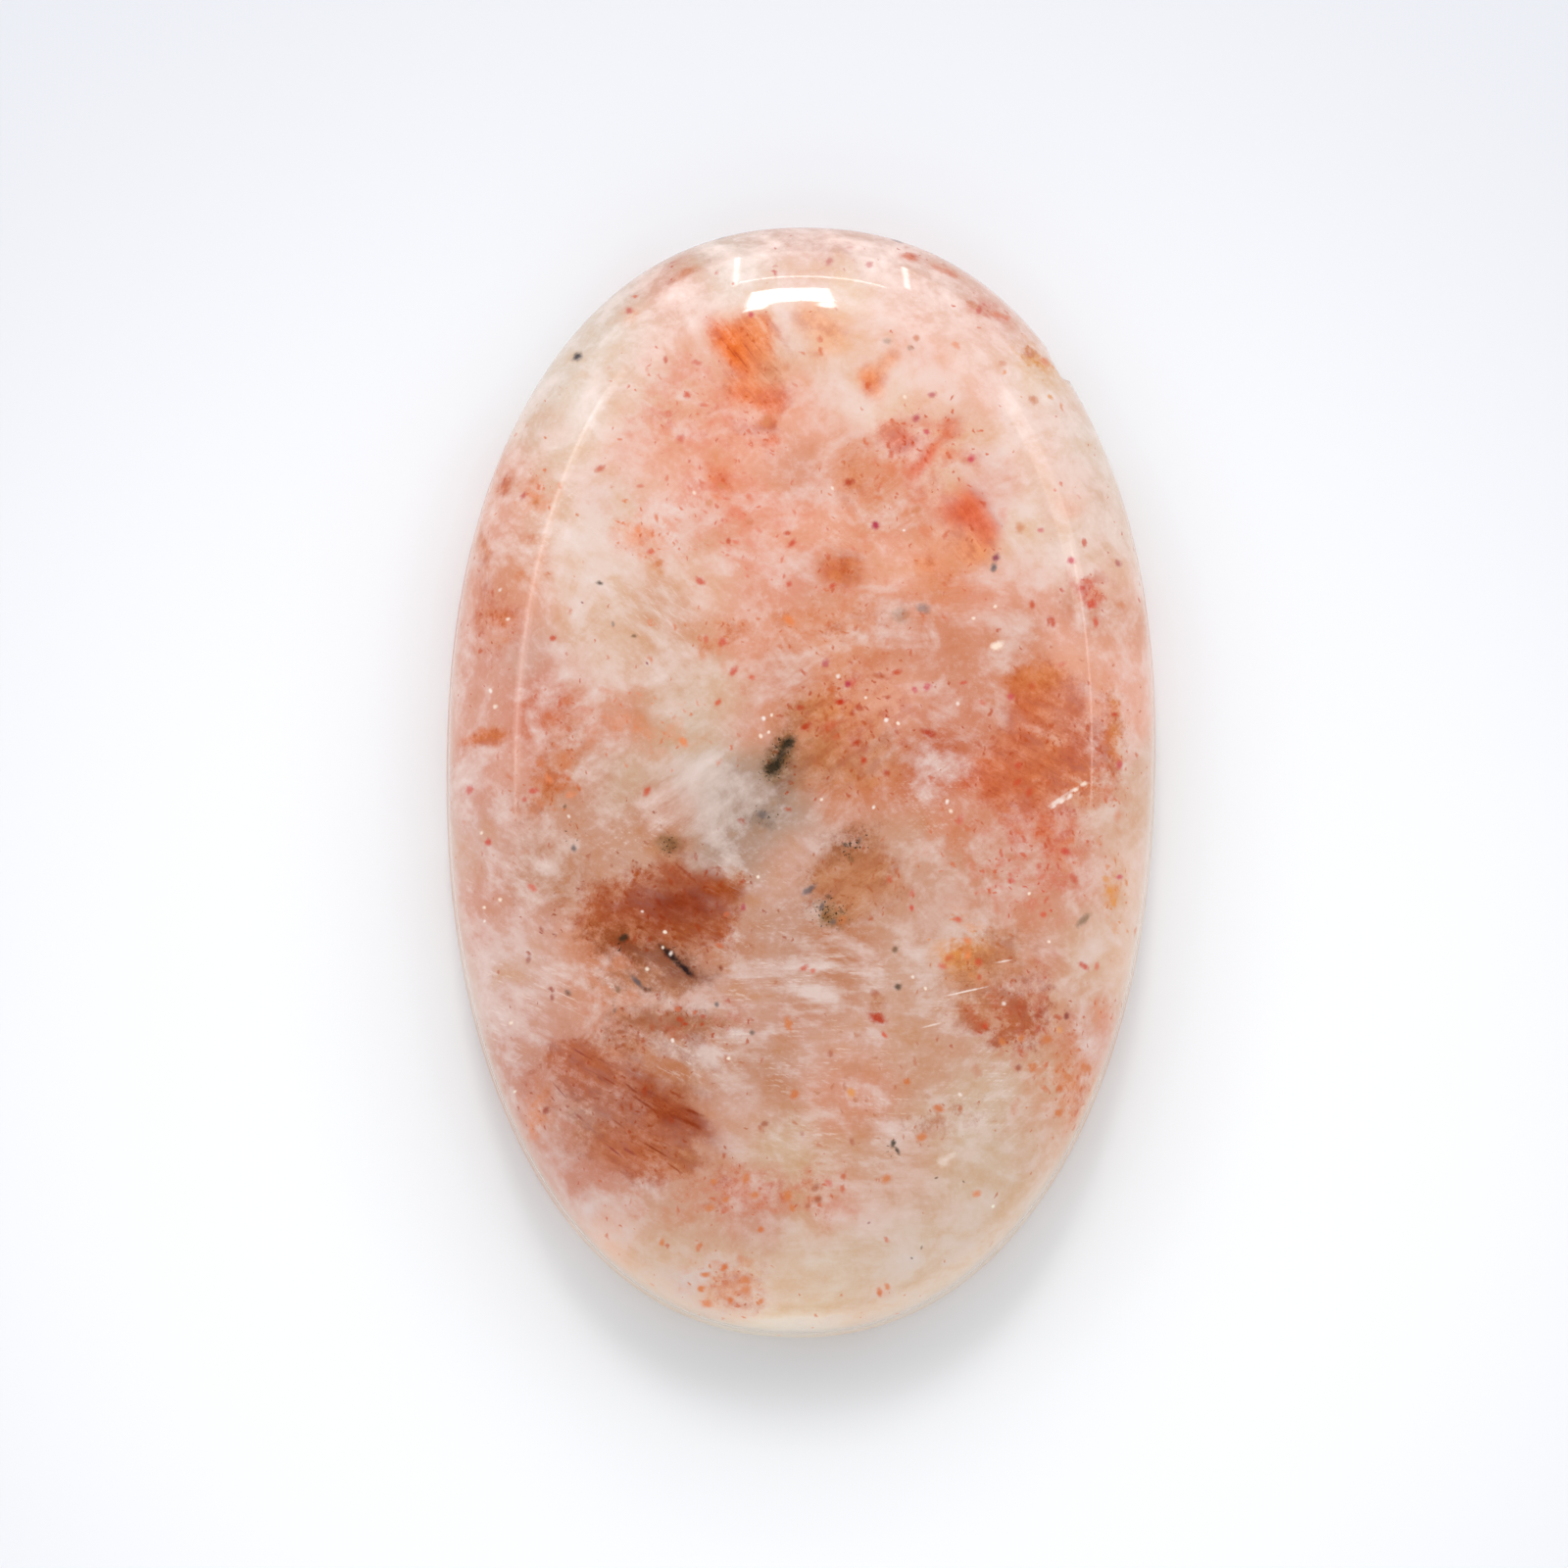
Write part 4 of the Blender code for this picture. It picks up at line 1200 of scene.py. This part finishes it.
def patchLook(tree, where, feathers, threads, pale):
    # coloured patches with crumbled edges, streaks along the grain and thin dark dashes
    streaks = stored(tree, "streaks")
    graininess = stored(tree, "graininess")
    crumble = sums("SUBTRACT", cloud(where, *finish["crumbs"]), 0.5)
    whole = stored(tree, "patch", "Alpha")
    ragged = times(crumble, graininess, finish["crumble"])
    streaked = times(feathers, streaks, finish["stripes"])
    broken = ramp(sums("ADD", whole, sums("ADD", ragged, streaked)), finish["patchFrom"])
    breaking = times(graininess, finish["mottled"])
    breaking.node.use_clamp = True
    cover = sums("MULTIPLY_ADD", sums("SUBTRACT", broken, whole), breaking, whole)
    cover = times(cover, less(times(pale, less(whole)), finish["veilOverPatch"]))
    uneven = sums("ADD", feathers, crumble)
    start, end = finish["unevenFrom"]
    deep = ramp(uneven, (start, end), manner="LINEAR")
    lit = ramp(uneven, (start, -end), manner="LINEAR")
    cover = times(cover, less(times(lit, graininess), finish["thinned"]))
    dashes = ramp(threads, finish["dashFrom"])
    tone = stored(tree, "patch", "Color")
    for name, shares in {"lightTone": (lit, finish["patchLight"]), "deepTone": (deep, finish["patchDepth"]),
                         "dashTone": (dashes, streaks, finish["dashes"])}.items():
        tone = lay(tone, finish[name], *shares, manner="MULTIPLY")
    return tone, cover


def layPlatelets(tree, where, colour, cover):
    # soft ones deep in the stone, crisp ones near its face
    platelets = plateletGroup()
    bends = cloud(where, *finish["bends"]).node.outputs["Color"]
    bends = vectorSums("MULTIPLY", vectorSums("SUBTRACT", bends, (0.5, 0.5, 0.5)),
                       (finish["bendDepth"],) * 3)
    bent = vectorSums("ADD", where, bends)
    shaded = lay(stored(tree, "patch", "Color"), finish["deepTone"], 1.0, manner="MULTIPLY")
    grainTone = lay(stored(tree, "grain", "Color"), shaded, cover)
    crowded = sums("MULTIPLY_ADD", cover, finish["crowding"], stored(tree, "grain", "Alpha"))
    for layer in finish["plateletLayers"]:
        spot = useGroup(tree, platelets, Vector=bent, Scale=layer["scale"],
                        Density=times(crowded, layer["share"]),
                        Radius=layer["radius"], Softness=layer["softness"])
        shade = lay(grainTone, layer["tone"], spot["Pick"], layer["redder"])
        colour = lay(colour, shade, spot["Mask"], layer["strength"])
    return colour


def layMarks(tree, where, colour):
    # single flecks, and dark dust
    ragged = sums("MULTIPLY_ADD", cloud(where, *finish["rags"]), finish["ragged"], -finish["ragged"] / 2)
    layerGroup = fleckGroup()
    for number in range(1, fleckLayers + 1):
        colour = useGroup(tree, layerGroup, Base=colour, Ragged=ragged,
                          Place=stored(tree, f"fleckPlace{number}", "Vector"),
                          Tone=stored(tree, f"fleckTone{number}", "Color"),
                          Strength=stored(tree, f"fleckTone{number}", "Alpha"))["Color"]
    dusty = stored(tree, "dust")
    plain, taken = finish["dustNeeds"]
    needed = sums("MULTIPLY_ADD", dusty, -taken, plain)
    specks = ramp(sums("SUBTRACT", cloud(where, *finish["specks"]), needed), finish["speckFrom"])
    return lay(colour, "greenBlack", specks, ramp(dusty, finish["dustOver"]), finish["dust"])


def paintStone():
    material = bpy.data.materials.new("sunstone")
    material.use_nodes = True
    tree = material.node_tree
    shader = tree.nodes["Principled BSDF"]
    # places on the stone in millimetres
    where = feedAll(addNode(tree, "ShaderNodeMapping"), {
        "Vector": addNode(tree, "ShaderNodeTexCoord").outputs["Object"],
        "Scale": (1 / mm, 1 / mm, 1 / mm)}).outputs["Vector"]
    feathers = alongGrain(tree, where, *finish["feathers"])
    threads = alongGrain(tree, where, *finish["threads"])
    colour, pale = milkyBody(tree, where, feathers)
    tone, cover = patchLook(tree, where, feathers, threads, pale)
    colour = lay(colour, tone, cover)

    # a soft haze in each region's own colour, where its platelets are dense
    hazy = ramp(cloud(where, *finish["hazes"]), finish["hazeFrom"], (0.0, finish["haze"]))
    dense = ramp(stored(tree, "grain", "Alpha"), finish["hazeOver"], manner="LINEAR")
    colour = lay(colour, stored(tree, "grain", "Color"), hazy, dense)

    # pale threads through it, and the painted rim light: a paler cream over the thin edge
    lines = ramp(threads, finish["threadFrom"])
    tufts = ramp(cloud(where, *finish["tufts"]), finish["tuftFrom"])
    colour = lay(colour, "fissure", lines, tufts, stored(tree, "fibre"),
                 less(cover, finish["threadUnderPatch"]), finish["thread"])
    colour = lay(colour, "edgeCream", stored(tree, "paintedRimLight"))

    colour = layPlatelets(tree, where, colour, cover)
    colour = layMarks(tree, where, colour)

    # fine sugary grain, paler and darker
    fine = cloud(where, *finish["sugar"])
    sugar = ramp(fine, finish["sugarFrom"], (0.0, finish["grain"]))
    colour = lay(colour, "veil", sugar, less(cover))
    shade = ramp(fine, finish["shadeFrom"], (0.0, finish["grain"]))
    feed(lay(colour, finish["clearTone"], shade, manner="MULTIPLY"), shader.inputs["Base Color"])

    # polish, satin where it is only ground
    ground = stored(tree, "ground")
    polish = sums("MULTIPLY_ADD", cloud(where, *finish["smears"]), finish["smear"],
                  finish["polish"] - finish["smear"] / 2)
    feed(sums("MULTIPLY_ADD", ground, finish["satin"] - finish["polish"], polish),
         shader.inputs["Roughness"])
    shader.inputs["IOR"].default_value = finish["ior"]
    bump = feedAll(addNode(tree, "ShaderNodeBump"), {
        "Strength": 1.0, "Distance": finish["grit"] * mm,
        "Height": times(cloud(where, *finish["scratches"]), ground)})
    feed(bump.outputs["Normal"], shader.inputs["Normal"])
    return material


def direction(angles):
    away, turn = math.radians(angles[0]), math.radians(angles[1])
    return Vector((math.sin(away) * math.sin(turn), math.sin(away) * math.cos(turn), math.cos(away)))


def addStrips():
    for name, start, end, width, radiance in lighting["strips"]:
        first = direction(start) * lighting["distance"]
        last = direction(end) * lighting["distance"]
        along = (last - first).normalized()
        middle = (first + last) / 2
        back = (middle - along * middle.dot(along)).normalized()
        panel = bpy.data.lights.new(name, "AREA")
        panel.shape = "RECTANGLE"
        panel.size = (last - first).length * mm
        panel.size_y = width * mm
        panel.energy = radiance * math.pi * panel.size * panel.size_y
        lamp = bpy.data.objects.new(name, panel)
        lamp.visible_camera = False
        bpy.context.scene.collection.objects.link(lamp)
        axes = Matrix((along, back.cross(along), back)).transposed().to_4x4()
        lamp.matrix_world = Matrix.Translation(middle * mm) @ axes


def addTent():
    world = bpy.data.worlds.new("tent")
    bpy.context.scene.world = world
    world.use_nodes = True
    tree = world.node_tree
    looking = addNode(tree, "ShaderNodeTexCoord").outputs["Generated"]
    radiance = lighting["soft"]
    for angles, added, narrowness in lighting["sides"]:
        towards = vectorSums("DOT_PRODUCT", looking, direction(angles))
        towards = sums("POWER", sums("MAXIMUM", towards, 0.0), narrowness)
        radiance = sums("MULTIPLY_ADD", towards, added, radiance)
    overhead = vectorSums("DOT_PRODUCT", looking, direction(lighting["overheadFrom"]))
    inner, outer = (math.cos(math.radians(edge)) for edge in lighting["overheadEdge"])
    opening = ramp(overhead, (outer, inner), (1.0, lighting["overhead"]))
    light = tree.nodes["Background"]
    light.inputs["Color"].default_value = (*lighting["tint"], 1)
    feed(times(radiance, opening), light.inputs["Strength"])


# The sheet of pale paper that the stone lies on, with painted shade that darkens it away from the stone
floorSheet = {
    "size": 6000.0,
    "gap": 0.02,
    "colour": (0.885, 0.888, 0.902, 1),
    "paler": (0.90, 0.90, 0.912, 1),
    "outer": (0.70, 0.705, 0.745, 1),
    "mottle": (14.0, 3.0),   # waves to the metre, and their detail
    "mottleFrom": (0.3, 0.7),
    "middle": -14.0,         # where along Y the sheet is brightest, and over which mm the painted shade darkens it towards the outer colour
    "paintedFalloff": (16.0, 62.0),
    "roughness": 0.9,
    "specular": 0.1,
}


def addFloor():
    bpy.ops.object.select_all(action="DESELECT")
    bpy.ops.mesh.primitive_plane_add(size=floorSheet["size"] * mm, location=(0, 0, -floorSheet["gap"] * mm))
    floor = bpy.context.object
    floor.name = "floor"
    bpy.ops.object.transform_apply(location=True, rotation=True, scale=True)
    paper = bpy.data.materials.new("floorPaper")
    paper.use_nodes = True
    tree = paper.node_tree
    shader = tree.nodes["Principled BSDF"]
    where = addNode(tree, "ShaderNodeTexCoord").outputs["Object"]
    patchy = ramp(cloud(where, *floorSheet["mottle"]), floorSheet["mottleFrom"])
    colour = blend(patchy, floorSheet["colour"], floorSheet["paler"])
    # painted shade: the sheet darkens to the outer colour with distance from a place below the stone
    middle = vectorSums("SUBTRACT", where, (0, floorSheet["middle"] * mm, 0))
    away = ramp(vectorSums("LENGTH", middle), [edge * mm for edge in floorSheet["paintedFalloff"]])
    feed(blend(away, colour, floorSheet["outer"]), shader.inputs["Base Color"])
    shader.inputs["Roughness"].default_value = floorSheet["roughness"]
    shader.inputs["Specular IOR Level"].default_value = floorSheet["specular"]
    floor.data.materials.append(paper)


print("stage: camera")
addCamera()
print("stage: stone")
piece = blank()
places, bite = notch(shapeStone(piece.data))
piece.data.vertices.foreach_set("co", (places * mm).ravel())
piece.data.update()
bpy.ops.object.mode_set(mode="EDIT")
bpy.ops.mesh.select_all(action="SELECT")
bpy.ops.mesh.normals_make_consistent(inside=False)
bpy.ops.object.mode_set(mode="OBJECT")
bpy.ops.object.shade_smooth_by_angle(angle=math.radians(stone["smoothBelow"]))
print("stage: pattern")
colourStone(piece.data, places, bite)
print("stage: finish")
piece.data.materials.clear()
piece.data.materials.append(paintStone())
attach(piece, "root")
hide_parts("cabochon")

print("stage: light and floor")
addTent()
addStrips()
addFloor()
bpy.context.scene.view_settings.view_transform = "Standard"
